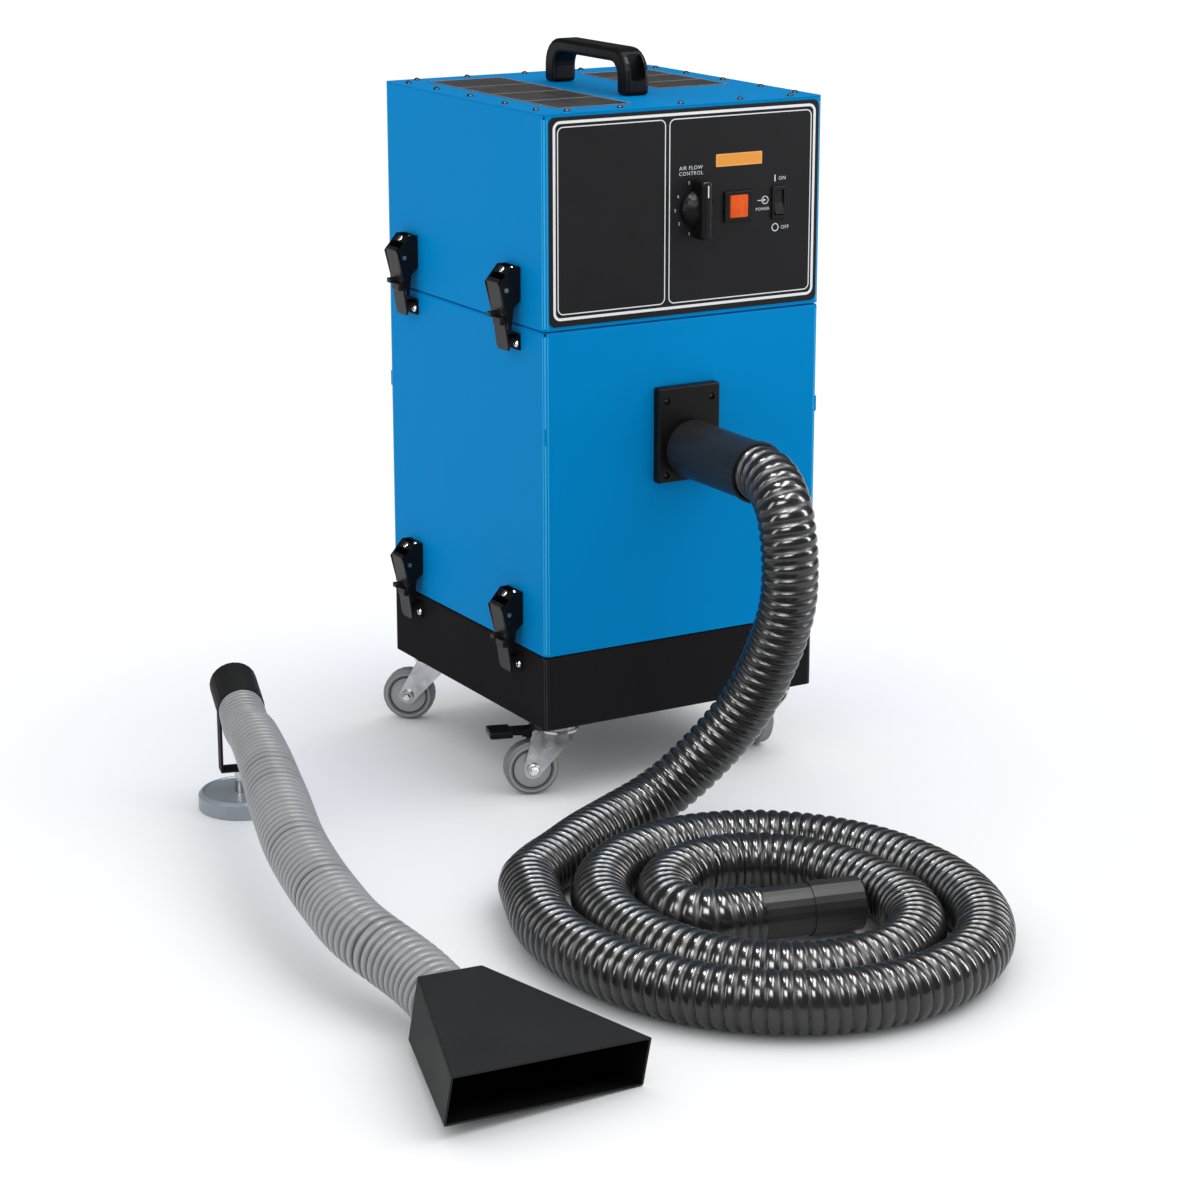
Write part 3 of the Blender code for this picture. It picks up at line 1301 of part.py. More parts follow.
def hood_rear():
    """Centre of the hood's rear face, at the height that rests the mouth's lowest corner on the floor."""
    frame = hood_frame()
    corners = [Vector((x * HOOD_MOUTH_WIDTH / 2, -HOOD_LENGTH, HOOD_MOUTH_RISE + z * HOOD_MOUTH_HEIGHT / 2))
               for x in (-1, 1) for z in (-1, 1)]
    return Vector((HOOD_REAR_X, HOOD_REAR_Y, -min((frame @ corner).z for corner in corners)))


def tapered(front, rear, inset):
    """Hood-shaped solid between two places along its length, its sides inset from the outer skin."""
    bm = bmesh.new()
    bmesh.ops.create_cube(bm, size=1)
    for vert in bm.verts:
        y = rear if vert.co.y > 0 else front
        share = -y / HOOD_LENGTH
        width = HOOD_REAR_WIDTH + (HOOD_MOUTH_WIDTH - HOOD_REAR_WIDTH) * share - 2 * inset
        height = HOOD_REAR_HEIGHT + (HOOD_MOUTH_HEIGHT - HOOD_REAR_HEIGHT) * share - 2 * inset
        vert.co = (vert.co.x * width, y, vert.co.z * height + HOOD_MOUTH_RISE * share)
    return bm


def hood():
    """Fishtail nozzle of folded sheet: near-square at the hose, wide and flat at its open mouth."""
    bm = tapered(-HOOD_LENGTH, 0, 0)
    folds = [edge for edge in bm.edges if any(vert.co.y > -HOOD_LENGTH / 2 for vert in edge.verts)]
    bmesh.ops.bevel(bm, geom=folds, offset=HOOD_EDGE, segments=2, profile=ROUND_SHARE, affect="EDGES")
    inside = mesh_from(tapered(-HOOD_LENGTH - OVERRUN, -HOOD_WALL, HOOD_WALL))
    hole = rod(HOOD_BORE, 2 * (HOOD_WALL + OVERRUN), (0, 0, 0), FACE_FRONT, 24)
    add_piece(without(mesh_from(bm), inside, hole), "hood", "hood_black", hood_rear(), hood_frame())


def hood_set():
    heading = Vector(CUFF_HEADING).normalized()
    middle = Vector(CUFF_CENTRE)
    low = middle + heading * (HOOD_CUFF_LENGTH / 2)
    turn = heading.to_track_quat("Z", "Y").to_matrix().to_4x4()
    half = HOOD_CUFF_LENGTH / 2
    profile = [(HOOD_CUFF_RADIUS, half), (HOOD_CUFF_RADIUS, -half), (HOOD_CUFF_BORE, -half), (HOOD_CUFF_BORE, half)]
    add_piece(turned(profile, 24, closed=True), "hood_hose_cuff", "moulded_black", middle, turn)

    back = hood_frame() @ Vector((0, 1, 0))
    end = hood_rear() + back * GAP
    start = low + heading * GAP
    route = [start, start + heading * HOOD_HOSE_RADIUS]
    route += [Vector(p) for p in HOOD_HOSE_ROUTE]
    route += [end + back * HOOD_HOSE_RADIUS, end]
    points = smooth_route(route, HOOD_HOSE_PITCH / 2)
    print("hood hose length, m:", round(route_length(points), 3), "points:", len(points))
    shape = ribbed(points, HOOD_HOSE_RADIUS, HOOD_HOSE_VALLEY_DEPTH, HOOD_HOSE_BORE, HOOD_HOSE_START_SHARE,
                   HOOD_HOSE_SWELL_SHARE)
    add_piece(shape, "hood_hose", "hose_grey")

    rim = MAGNET_RADIUS - MAGNET_RIM
    profile = [
        (0, MAGNET_HEIGHT - MAGNET_DISH), (rim - MAGNET_DISH, MAGNET_HEIGHT - MAGNET_DISH), (rim, MAGNET_HEIGHT),
        (MAGNET_RADIUS - MAGNET_EDGE, MAGNET_HEIGHT), (MAGNET_RADIUS, MAGNET_HEIGHT - MAGNET_EDGE),
        (MAGNET_RADIUS, 0), (0, 0),
    ]
    add_piece(turned(profile, 32), "magnet_base", "magnet_grey", (MAGNET_X, MAGNET_Y, 0))
    stud_low = MAGNET_HEIGHT - MAGNET_DISH + GAP
    stud = rod(STUD_RADIUS, STUD_TOP - stud_low, sides=24)
    add_piece(stud, "bracket_stud", "zinc", (MAGNET_X, MAGNET_Y, (STUD_TOP + stud_low) / 2))

    add_piece(bracket_shape(middle.z, heading), "hood_bracket", "black_paint", (middle.x, middle.y, 0),
              bracket_turn(heading))


def bracket_turn(heading):
    return spin(atan2(heading.x, -heading.y), "Z")


def bracket_shape(level, heading):
    """Bent strip on the stud: its upright end is cut to the cuff's round underside."""
    inner = -HOOD_CUFF_RADIUS * BRACKET_ASIDE_SHARE
    outer = inner - BRACKET_THICK
    foot = STUD_TOP + GAP
    floor = foot + BRACKET_THICK
    high = level - HOOD_CUFF_RADIUS * BRACKET_TOP_SHARE
    outline = [(outer, foot), (BRACKET_REACH, foot), (BRACKET_REACH, floor), (inner, floor), (inner, high),
               (outer, high)]
    along = (bracket_turn(heading).inverted() @ heading).to_track_quat("Z", "Y").to_matrix().to_4x4()
    cuff = rod(HOOD_CUFF_RADIUS + GAP, HOOD_CUFF_LENGTH, (0, 0, level), along, 24)
    return without(slab(outline, BRACKET_WIDTH, FACE_FRONT), cuff)


# Assembly

CORDS = ("hose_run", "hose_coil", "hose_end_cuff", "hood_hose")


def centre_on_origin():
    """Stands the rigid pieces' box over the origin by moving the root."""
    bpy.context.view_layer.update()
    graph = bpy.context.evaluated_depsgraph_get()
    low = Vector((10, 10, 10))
    high = -low
    for piece in PARTS.objects:
        if piece.type != "MESH" or piece.name in CORDS:
            continue
        for vert in piece.evaluated_get(graph).data.vertices:
            place = piece.matrix_world @ vert.co
            low = Vector(min(a, b) for a, b in zip(low, place))
            high = Vector(max(a, b) for a, b in zip(high, place))
    ROOT.location = (-(low.x + high.x) / 2, -(low.y + high.y) / 2, -low.z)
    print("rigid box, m:", [round(v, 4) for v in high - low], "root at:", [round(v, 5) for v in ROOT.location])


def build():
    base_tray()
    gasket("tray_gasket", CABINET_Z)
    casters()
    filter_cabinet()
    gasket("cabinet_gasket", HEAD_Z)
    filter_cartridge()
    inlet_flange()
    inlet_cuff()
    latches("lower", CABINET_Z)
    latches("upper", HEAD_Z)
    blower_head()
    top_cover()
    control_panel()
    carry_handle()
    airflow_knob()
    speed_control()
    lamp()
    power_switch()
    blower_plate()
    blower_motor()
    impeller()
    hose()
    hood_set()
    hood()
    centre_on_origin()


build()
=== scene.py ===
"""Looks of the mobile welding fume extractor: materials, hoses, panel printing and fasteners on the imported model."""

import json
from math import atan2, ceil, cos, exp, pi, radians, sin

import bmesh
import bpy
from mathutils import Matrix, Vector


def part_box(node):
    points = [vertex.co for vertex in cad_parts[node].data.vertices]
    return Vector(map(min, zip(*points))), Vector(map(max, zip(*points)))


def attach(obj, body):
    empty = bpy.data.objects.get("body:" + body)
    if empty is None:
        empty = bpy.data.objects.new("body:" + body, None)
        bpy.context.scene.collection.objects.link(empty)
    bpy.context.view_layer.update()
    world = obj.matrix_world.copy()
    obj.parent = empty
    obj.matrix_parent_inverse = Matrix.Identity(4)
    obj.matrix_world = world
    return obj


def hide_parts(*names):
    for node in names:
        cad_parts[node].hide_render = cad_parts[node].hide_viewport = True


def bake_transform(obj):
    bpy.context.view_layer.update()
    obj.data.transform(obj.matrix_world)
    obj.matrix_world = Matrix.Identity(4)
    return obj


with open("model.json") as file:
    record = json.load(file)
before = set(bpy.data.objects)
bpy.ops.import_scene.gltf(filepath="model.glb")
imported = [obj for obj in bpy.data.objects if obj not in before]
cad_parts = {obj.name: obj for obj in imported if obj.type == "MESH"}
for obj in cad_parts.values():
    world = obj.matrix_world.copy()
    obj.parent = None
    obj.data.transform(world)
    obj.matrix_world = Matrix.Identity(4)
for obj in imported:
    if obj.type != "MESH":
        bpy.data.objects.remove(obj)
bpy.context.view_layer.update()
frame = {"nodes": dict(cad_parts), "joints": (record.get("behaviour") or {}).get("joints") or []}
NODES = frame["nodes"]

# The routes below are written from the middle of the filter cabinet, so its box gives the offset
cabinet_low, cabinet_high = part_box("filter_cabinet")
ORIGIN = Vector(((cabinet_low.x + cabinet_high.x) / 2, (cabinet_low.y + cabinet_high.y) / 2, 0))

GAP = 0.0003
FRONT_Y = -0.2135
SIDE_X = 0.203
TOP_Z = 0.878
CORNER_RADIUS = 0.007
SEAMS = {"lower": 0.196, "upper": 0.613}
PANEL_Y = FRONT_Y - 0.0018
CORNERS = ("fl", "fr", "rl", "rr")


def at(x, y, z):
    return ORIGIN + Vector((x, y, z))


def middle(node):
    low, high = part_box(node)
    return (low + high) / 2


def latches(level):
    """Side of the cabinet and place along it of the four latches on one seam."""
    for side, side_name in ((-1, "left"), (1, "right")):
        for end in ("front", "rear"):
            yield side, middle("latch_housing_%s_%s_%s" % (level, end, side_name)).y - ORIGIN.y


# Camera and lights

def add_camera():
    data = bpy.data.cameras.new("camera")
    data.lens = 90.7
    data.sensor_width = 36
    data.clip_start = 0.05
    camera = bpy.data.objects.new("camera", data)
    bpy.context.scene.collection.objects.link(camera)
    place = at(-1.9854, -3.3977, 1.317)
    target = at(0.0007, -0.0004, 0.190)
    camera.location = place
    camera.rotation_euler = (target - place).to_track_quat("-Z", "Y").to_euler()
    bpy.context.scene.camera = camera


def add_light(name, place, target, size, energy):
    """Softbox that is seen in highlights only."""
    data = bpy.data.lights.new(name, "AREA")
    data.shape = "RECTANGLE"
    data.size, data.size_y = size
    data.energy = energy
    lamp = bpy.data.objects.new(name, data)
    bpy.context.scene.collection.objects.link(lamp)
    lamp.location = at(*place)
    lamp.rotation_euler = (at(*target) - lamp.location).to_track_quat("-Z", "Y").to_euler()
    lamp.visible_diffuse = False


def add_sun(toward, strength, angle):
    data = bpy.data.lights.new("sun", "SUN")
    data.energy = strength
    data.angle = radians(angle)
    lamp = bpy.data.objects.new("sun", data)
    bpy.context.scene.collection.objects.link(lamp)
    lamp.rotation_euler = Vector(toward).to_track_quat("Z", "Y").to_euler()


def background(tree, colour, strength):
    node = tree.nodes.new("ShaderNodeBackground")
    node.inputs["Color"].default_value = colour
    node.inputs["Strength"].default_value = strength
    return node.outputs[0]


def chosen(tree, ray, otherwise, then):
    """Shader that is one thing for a kind of ray and another for the rest."""
    node = tree.nodes.new("ShaderNodeMixShader")
    tree.links.new(ray, node.inputs["Fac"])
    tree.links.new(otherwise, node.inputs[1])
    tree.links.new(then, node.inputs[2])
    return node.outputs[0]


def light_scene():
    """White behind the object, soft light around it, and dim surroundings in its reflections."""
    scene = bpy.context.scene
    scene.view_settings.view_transform = "Standard"
    world = bpy.data.worlds.new("studio")
    scene.world = world
    world.use_nodes = True
    tree = world.node_tree
    tree.nodes.clear()
    rays = tree.nodes.new("ShaderNodeLightPath")
    seen = background(tree, (1, 1, 1, 1), 1.0)
    soft = background(tree, (0.97, 0.98, 1.0, 1), 0.92)
    dim = background(tree, (0.97, 0.98, 1.0, 1), 0.10)
    lit = chosen(tree, rays.outputs["Is Glossy Ray"], soft, dim)
    out = tree.nodes.new("ShaderNodeOutputWorld")
    tree.links.new(chosen(tree, rays.outputs["Is Camera Ray"], lit, seen), out.inputs["Surface"])
    add_sun((0.45, -0.25, 1), 0.85, 50)
    add_light("key", (-1.5, -1.9, 2.0), (-0.2, -0.5, 0.2), (1.4, 0.8), 70)
    add_light("left", (-2.3, -0.3, 1.3), (-0.3, -0.3, 0.4), (0.5, 1.6), 26)
    add_light("right", (1.9, -1.6, 1.3), (0, -0.5, 0.3), (0.45, 1.6), 55)
    add_light("top", (0.2, -0.9, 2.3), (0, -0.7, 0), (1.6, 0.5), 55)
    add_light("over", (-0.35, -0.33, 1.8), (0, -0.3, 0.45), (0.5, 0.22), 26)


def add_floor():
    bm = bmesh.new()
    bmesh.ops.create_grid(bm, x_segments=1, y_segments=1, size=14)
    mesh = bpy.data.meshes.new("floor")
    bm.to_mesh(mesh)
    bm.free()
    floor = bpy.data.objects.new("floor", mesh)
    bpy.context.scene.collection.objects.link(floor)
    floor.location.z = -0.0005
    mesh.materials.append(surface("floor_white", (0.95, 0.95, 0.952), 0.8, mottle=0.003, bump=0.02, specular=0.0))


# Materials

class Tree:
    """Thin helper to write a node tree from the shader outward."""

    def __init__(self, name):
        self.material = bpy.data.materials.new(name)
        self.material.use_nodes = True
        self.tree = self.material.node_tree
        self.shader = self.tree.nodes["Principled BSDF"]
        coordinates = self.add("ShaderNodeTexCoord")
        self.place = coordinates.outputs["Object"]
        self.facing = coordinates.outputs["Normal"]

    def add(self, kind, **settings):
        node = self.tree.nodes.new(kind)
        for key, value in settings.items():
            setattr(node, key, value)
        return node

    def link(self, out, into):
        self.tree.links.new(out, into)

    def math(self, operation, a, b=None):
        node = self.add("ShaderNodeMath", operation=operation)
        for index, value in enumerate((a, b)):
            if value is None:
                continue
            if isinstance(value, (int, float)):
                node.inputs[index].default_value = value
            else:
                self.link(value, node.inputs[index])
        return node.outputs[0]

    def noise(self, scale, detail=4.0, stretch=None):
        where = self.place
        if stretch:
            mapping = self.add("ShaderNodeMapping")
            mapping.inputs["Scale"].default_value = stretch
            self.link(where, mapping.inputs["Vector"])
            where = mapping.outputs[0]
        node = self.add("ShaderNodeTexNoise")
        node.inputs["Scale"].default_value = scale
        node.inputs["Detail"].default_value = detail
        node.inputs["Roughness"].default_value = 0.55
        self.link(where, node.inputs["Vector"])
        return node.outputs["Fac"]

    def ramp(self, value, low, high, out_low=0.0, out_high=1.0):
        node = self.add("ShaderNodeMapRange")
        for key, number in (("From Min", low), ("From Max", high), ("To Min", out_low), ("To Max", out_high)):
            node.inputs[key].default_value = number
        self.link(value, node.inputs["Value"])
        return node.outputs["Result"]

    def mix(self, share, first, second):
        node = self.add("ShaderNodeMix", data_type="RGBA")
        sockets = [s for s in node.inputs if s.type == "RGBA"]
        for socket, colour in zip(sockets, (first, second)):
            if isinstance(colour, tuple):
                socket.default_value = (*colour, 1)
            else:
                self.link(colour, socket)
        self.link(share, node.inputs["Factor"])
        return [s for s in node.outputs if s.type == "RGBA"][0]

    def axis(self, name):
        node = self.add("ShaderNodeSeparateXYZ")
        self.link(self.place, node.inputs[0])
        return node.outputs[name]


def tint(colour, share):
    return tuple(min(1.0, c * (1 + share)) for c in colour)


def surface(name, colour, rough, metal=0.0, mottle=0.05, mottle_scale=7.0, spread=0.05, bump=0.1,
            bump_scale=600.0, relief=0.0003, spots=0.0, specular=0.3, streak=None, second=None):
    """Procedural finish: drifting colour, uneven gloss and fine relief; second adds another colour by a mask."""
    tree = Tree(name)
    shader = tree.shader
    drift = tree.noise(mottle_scale, 5.0)
    share = tree.ramp(drift, 0.3, 0.7)
    shade = tree.mix(share, tint(colour, -mottle), tint(colour, mottle))
    if spots:
        speck = tree.ramp(tree.noise(bump_scale * 0.6, 2.0), 0.66, 0.74, 0, spots)
        shade = tree.mix(speck, shade, tint(colour, 0.9))
    gloss = tree.ramp(drift, 0.3, 0.7, rough - spread, rough + spread)
    metallic = metal
    if second:
        mask, other, other_rough, other_metal = second(tree), *second.finish
        shade = tree.mix(mask, shade, other)
        gloss = tree.math("ADD", gloss, tree.math("MULTIPLY", mask, other_rough - rough))
        if other_metal != metal:
            metallic = None
            tree.link(tree.ramp(mask, 0, 1, metal, other_metal), shader.inputs["Metallic"])
    tree.link(shade, shader.inputs["Base Color"])
    tree.link(gloss, shader.inputs["Roughness"])
    if metallic is not None:
        shader.inputs["Metallic"].default_value = metallic
    shader.inputs["Specular IOR Level"].default_value = specular
    if bump:
        grain = tree.noise(bump_scale, 3.0, stretch=streak)
        node = tree.add("ShaderNodeBump")
        node.inputs["Strength"].default_value = bump
        node.inputs["Distance"].default_value = relief
        tree.link(grain, node.inputs["Height"])
        tree.link(node.outputs[0], shader.inputs["Normal"])
    return tree.material


class Beyond:
    """Second colour where a place is farther than a limit from a middle along one axis."""

    def __init__(self, axis, middle, limit, colour, rough, metal, fold=None):
        self.axis, self.middle, self.limit, self.fold = axis, middle, limit, fold
        self.finish = (colour, rough, metal)

    def __call__(self, tree):
        value = tree.math("ABSOLUTE", tree.math("SUBTRACT", tree.axis(self.axis), self.middle))
        if self.fold is not None:
            value = tree.math("ABSOLUTE", tree.math("SUBTRACT", value, self.fold))
        return tree.math("GREATER_THAN", value, self.limit)


class Within:
    """Second colour within a radius of a line through a point."""

    def __init__(self, point, heading, radius, colour, rough, metal):
        self.point, self.heading, self.radius = point, heading, radius
        self.finish = (colour, rough, metal)

    def __call__(self, tree):
        away = tree.add("ShaderNodeVectorMath", operation="SUBTRACT")
        away.inputs[1].default_value = self.point
        tree.link(tree.place, away.inputs[0])
        cross = tree.add("ShaderNodeVectorMath", operation="CROSS_PRODUCT")
        cross.inputs[1].default_value = self.heading
        tree.link(away.outputs[0], cross.inputs[0])
        length = tree.add("ShaderNodeVectorMath", operation="LENGTH")
        tree.link(cross.outputs[0], length.inputs[0])
        return tree.math("LESS_THAN", length.outputs["Value"], self.radius)


class FacingIn:
    """Second colour on the faces of a hollow body that look toward a point inside it."""

    def __init__(self, point, colour, rough):
        self.point = point
        self.finish = (colour, rough, 0.0)

    def __call__(self, tree):
        away = tree.add("ShaderNodeVectorMath", operation="SUBTRACT")
        away.inputs[1].default_value = self.point
        tree.link(tree.place, away.inputs[0])
        dot = tree.add("ShaderNodeVectorMath", operation="DOT_PRODUCT")
        tree.link(away.outputs[0], dot.inputs[0])
        tree.link(tree.facing, dot.inputs[1])
        return tree.math("LESS_THAN", dot.outputs["Value"], 0.0)


class Painted:
    """Second colour by a value that the mesh holds for each of its points."""

    def __init__(self, attribute, colour, rough):
        self.attribute = attribute
        self.finish = (colour, rough, 0.0)

    def __call__(self, tree):
        return tree.add("ShaderNodeAttribute", attribute_name=self.attribute).outputs["Fac"]


# Colours that more than one finish or a large surface has
BLUE = (0.0, 0.235, 0.57)
ZINC = (0.55, 0.55, 0.56)
PANEL = (0.015, 0.015, 0.016)


def paint(node, material):
    NODES[node].data.materials.clear()
    NODES[node].data.materials.append(material)


def dress_nodes():
    black_fitting = ((0.006, 0.006, 0.006), 0.34, 0.0)
    blue = surface("blue_powder_coat", BLUE, 0.42, mottle=0.03, mottle_scale=3.0, bump=0.10, bump_scale=420,
                   relief=0.0003, specular=0.015)
    strike_side = Beyond("X", ORIGIN.x, SIDE_X + GAP, *black_fitting)
    blue_with_strikes = surface("blue_powder_coat_strikes", BLUE, 0.42, mottle=0.03, mottle_scale=3.0, bump=0.10,
                                bump_scale=420, relief=0.0003, specular=0.015, second=strike_side)
    black = surface("black_powder_coat", (0.015, 0.0145, 0.0155), 0.32, mottle=0.1, bump=0.10, bump_scale=420,
                    relief=0.0003, specular=0.003)
    moulded = surface("moulded_black_plastic", (0.005, 0.005, 0.0055), 0.36, mottle=0.12, mottle_scale=20, bump=0.25,
                      bump_scale=900, relief=0.0002, specular=0.12)
    glossy = surface("glossy_black_cuff", (0.017, 0.0165, 0.0165), 0.40, mottle=0.1, mottle_scale=20, spread=0.04,
                     bump=0.1, bump_scale=120, relief=0.0003, specular=0.28)
    zinc = surface("bright_zinc", ZINC, 0.24, metal=1.0, mottle=0.30, mottle_scale=45, spread=0.10, bump=0.15,
                   bump_scale=300, relief=0.0002)
    foam = surface("seal_foam", (0.010, 0.010, 0.010), 0.9, bump=0.5, bump_scale=1500, relief=0.0004)
    motor = surface("cast_motor_grey", (0.22, 0.22, 0.23), 0.5, metal=0.5, bump=0.3, bump_scale=500)
    media = surface("filter_paper", (0.72, 0.70, 0.64), 0.85, mottle=0.06, mottle_scale=40, bump=0.5,
                    bump_scale=900, streak=(1, 0.2, 1))
    for name in ("blower_head", "top_cover"):
        paint(name, blue)
    paint("filter_cabinet", blue_with_strikes)
    paint("base_tray", black)
    paint("control_panel", surface("panel_print_ground", PANEL, 0.42, mottle=0.05, mottle_scale=12, bump=0.1,
                                   bump_scale=900, relief=0.0001, specular=0.06))
    for name in ("inlet_flange", "airflow_knob", "speed_control", "lamp_bezel", "switch_housing", "carry_handle",
                 "brake_pedal_fl", "brake_pedal_fr"):
        paint(name, moulded)
    for name in ("hose_inlet_cuff", "hose_end_cuff"):
        paint(name, glossy)
    paint("switch_rocker", moulded)
    paint("hood_hose_cuff", surface("dull_black_cuff", (0.014, 0.014, 0.0145), 0.55, mottle=0.1, bump=0.2,
                                    specular=0.1))
    paint("hood_bracket", black)
    # Faces inside the hood painted near-black: painted shade in its mouth
    mouth_painted_shade = FacingIn(middle("hood"), (0.0008, 0.0008, 0.0008), 0.95)
    paint("hood", surface("black_sheet_coating", (0.019, 0.019, 0.0195), 0.50, mottle=0.08, mottle_scale=9,
                          bump=0.25, bump_scale=700, relief=0.0003, specular=0.06, second=mouth_painted_shade))
    paint("magnet_base", surface("magnet_grey_enamel", (0.30, 0.33, 0.36), 0.34, metal=0.15, mottle=0.06,
                                 mottle_scale=14, bump=0.12, bump_scale=200, specular=0.2))
    for name in ("bracket_stud", "blower_plate"):
        paint(name, zinc)
    for corner in CORNERS:
        paint("caster_plate_" + corner, zinc)
        paint("caster_fork_" + corner, zinc)
        dress_wheel(corner)
    for name in ("tray_gasket", "cabinet_gasket"):
        paint(name, foam)
    for name in ("blower_motor", "impeller"):
        paint(name, motor)
    paint("filter_cartridge", media)
    paint("lamp_lens", lens_material())
    front = middle("latch_housing_lower_front_left").y
    rear = middle("latch_housing_lower_rear_left").y
    cheek = 0.0192
    pin = Beyond("Y", (front + rear) / 2, cheek, (0.30, 0.30, 0.31), 0.35, 1.0, fold=(rear - front) / 2)
    housing = surface("latch_black_plastic", (0.005, 0.005, 0.0055), 0.30, mottle=0.12, mottle_scale=30, bump=0.2,
                      bump_scale=800, relief=0.0002, specular=0.15, second=pin)
    lever = surface("latch_lever_plastic", (0.013, 0.012, 0.012), 0.34, mottle=0.12, mottle_scale=40, bump=0.3,
                    bump_scale=700, relief=0.0002, spots=0.15, specular=0.15)
    for level in SEAMS:
        for end in ("front", "rear"):
            for side in ("left", "right"):
                paint("latch_housing_%s_%s_%s" % (level, end, side), housing)
                paint("latch_lever_%s_%s_%s" % (level, end, side), lever)


def wheel_axle(corner):
    """Middle and heading of a wheel's axle, from its joint."""
    for joint in frame["joints"]:
        if joint["name"] == "wheel_roll_" + corner:
            return Vector(joint["pos_m"]), Vector(joint["axis"])


RIM_RADIUS = 0.0245


def dress_wheel(corner):
    point, heading = wheel_axle(corner)
    rim = Within(point, heading, RIM_RADIUS, (0.38, 0.38, 0.385), 0.4, 0.0)
    paint("caster_wheel_" + corner, surface("wheel_rubber_" + corner, (0.21, 0.21, 0.213), 0.6, mottle=0.08,
                                            mottle_scale=30, bump=0.2, bump_scale=500, second=rim))


def lens_material():
    tree = Tree("lamp_lens_orange")
    share = tree.ramp(tree.noise(60, 2.0), 0.35, 0.65)
    tree.link(tree.mix(share, (0.66, 0.075, 0.008), (0.76, 0.12, 0.015)), tree.shader.inputs["Base Color"])
    tree.shader.inputs["Roughness"].default_value = 0.22
    tree.shader.inputs["Specular IOR Level"].default_value = 0.12
    tree.shader.inputs["Subsurface Weight"].default_value = 0.3
    tree.shader.inputs["Subsurface Radius"].default_value = (0.006, 0.002, 0.001)
    tree.shader.inputs["Emission Color"].default_value = (0.9, 0.10, 0.01, 1)
    tree.shader.inputs["Emission Strength"].default_value = 0.1
    return tree.material


# Pieces

def new_piece(name, mesh, material, body, smooth=35):
    mesh.name = name
    piece = bpy.data.objects.new(name, mesh)
    bpy.context.scene.collection.objects.link(piece)
    mesh.materials.clear()
    mesh.materials.append(material)
    if smooth:
        mesh.shade_smooth()
        mesh.set_sharp_from_angle(angle=radians(smooth))
    if body:
        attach(piece, body)
    return piece


def outline_mesh(loops, thick):
    """Flat print: one or more closed outlines in XZ, filled, facing -Y, centred on y = 0."""
    curve = bpy.data.curves.new("print", "CURVE")
    curve.dimensions = "2D"
    curve.fill_mode = "BOTH"
    curve.extrude = thick / 2
    for loop in loops:
        line = curve.splines.new("POLY")
        line.points.add(len(loop) - 1)
        for point, (x, y) in zip(line.points, loop):
            point.co = (x, y, 0, 1)
        line.use_cyclic_u = True
    return solid_of(curve)


def solid_of(data):
    """Mesh of a curve or text, stood up to face -Y."""
    thing = bpy.data.objects.new("shape", data)
    bpy.context.scene.collection.objects.link(thing)
    bpy.context.view_layer.update()
    mesh = bpy.data.meshes.new_from_object(thing.evaluated_get(bpy.context.evaluated_depsgraph_get()))
    bpy.data.objects.remove(thing, do_unlink=True)
    mesh.transform(Matrix.Rotation(pi / 2, 4, "X"))
    return mesh


def rounded(width, height, radius, centre=(0, 0), steps=6):
    x = width / 2 - radius
    y = height / 2 - radius
    points = []
    for quarter, (cx, cy) in enumerate([(x, y), (-x, y), (-x, -y), (x, -y)]):
        for i in range(steps + 1):
            angle = (quarter + i / steps) * pi / 2
            points.append((centre[0] + cx + radius * cos(angle), centre[1] + cy + radius * sin(angle)))
    return points


def circle(radius, centre=(0, 0), steps=24):
    return [(centre[0] + radius * cos(2 * pi * i / steps), centre[1] + radius * sin(2 * pi * i / steps))
            for i in range(steps)]


def frame_loops(left, right, low, high, radius, line):
    centre = ((left + right) / 2, (low + high) / 2)
    width, height = right - left, high - low
    return [rounded(width, height, radius, centre),
            rounded(width - 2 * line, height - 2 * line, radius - line, centre)[::-1]]


def text_mesh(words, size):
    data = bpy.data.curves.new("words", "FONT")
    data.body = words
    data.size = size
    data.align_x = "CENTER"
    data.align_y = "CENTER"
    data.extrude = PRINT_THICK / 2
    data.resolution_u = 3
    data.space_character = 1.12
    data.offset = -0.00006
    return solid_of(data)


def joined(meshes):
    bm = bmesh.new()
    for mesh in meshes:
        bm.from_mesh(mesh)
    result = bpy.data.meshes.new("joined")
    bm.to_mesh(result)
    bm.free()
    return result


def shifted(mesh, place, turn=None):
    mesh.transform(Matrix.Translation(place) @ (turn or Matrix.Identity(4)))
    return mesh


PRINT_THICK = 0.0002
PRINT_Y = PANEL_Y - PRINT_THICK / 2


def printed(loops):
    return shifted(outline_mesh(loops, PRINT_THICK), at(0, PRINT_Y, 0))


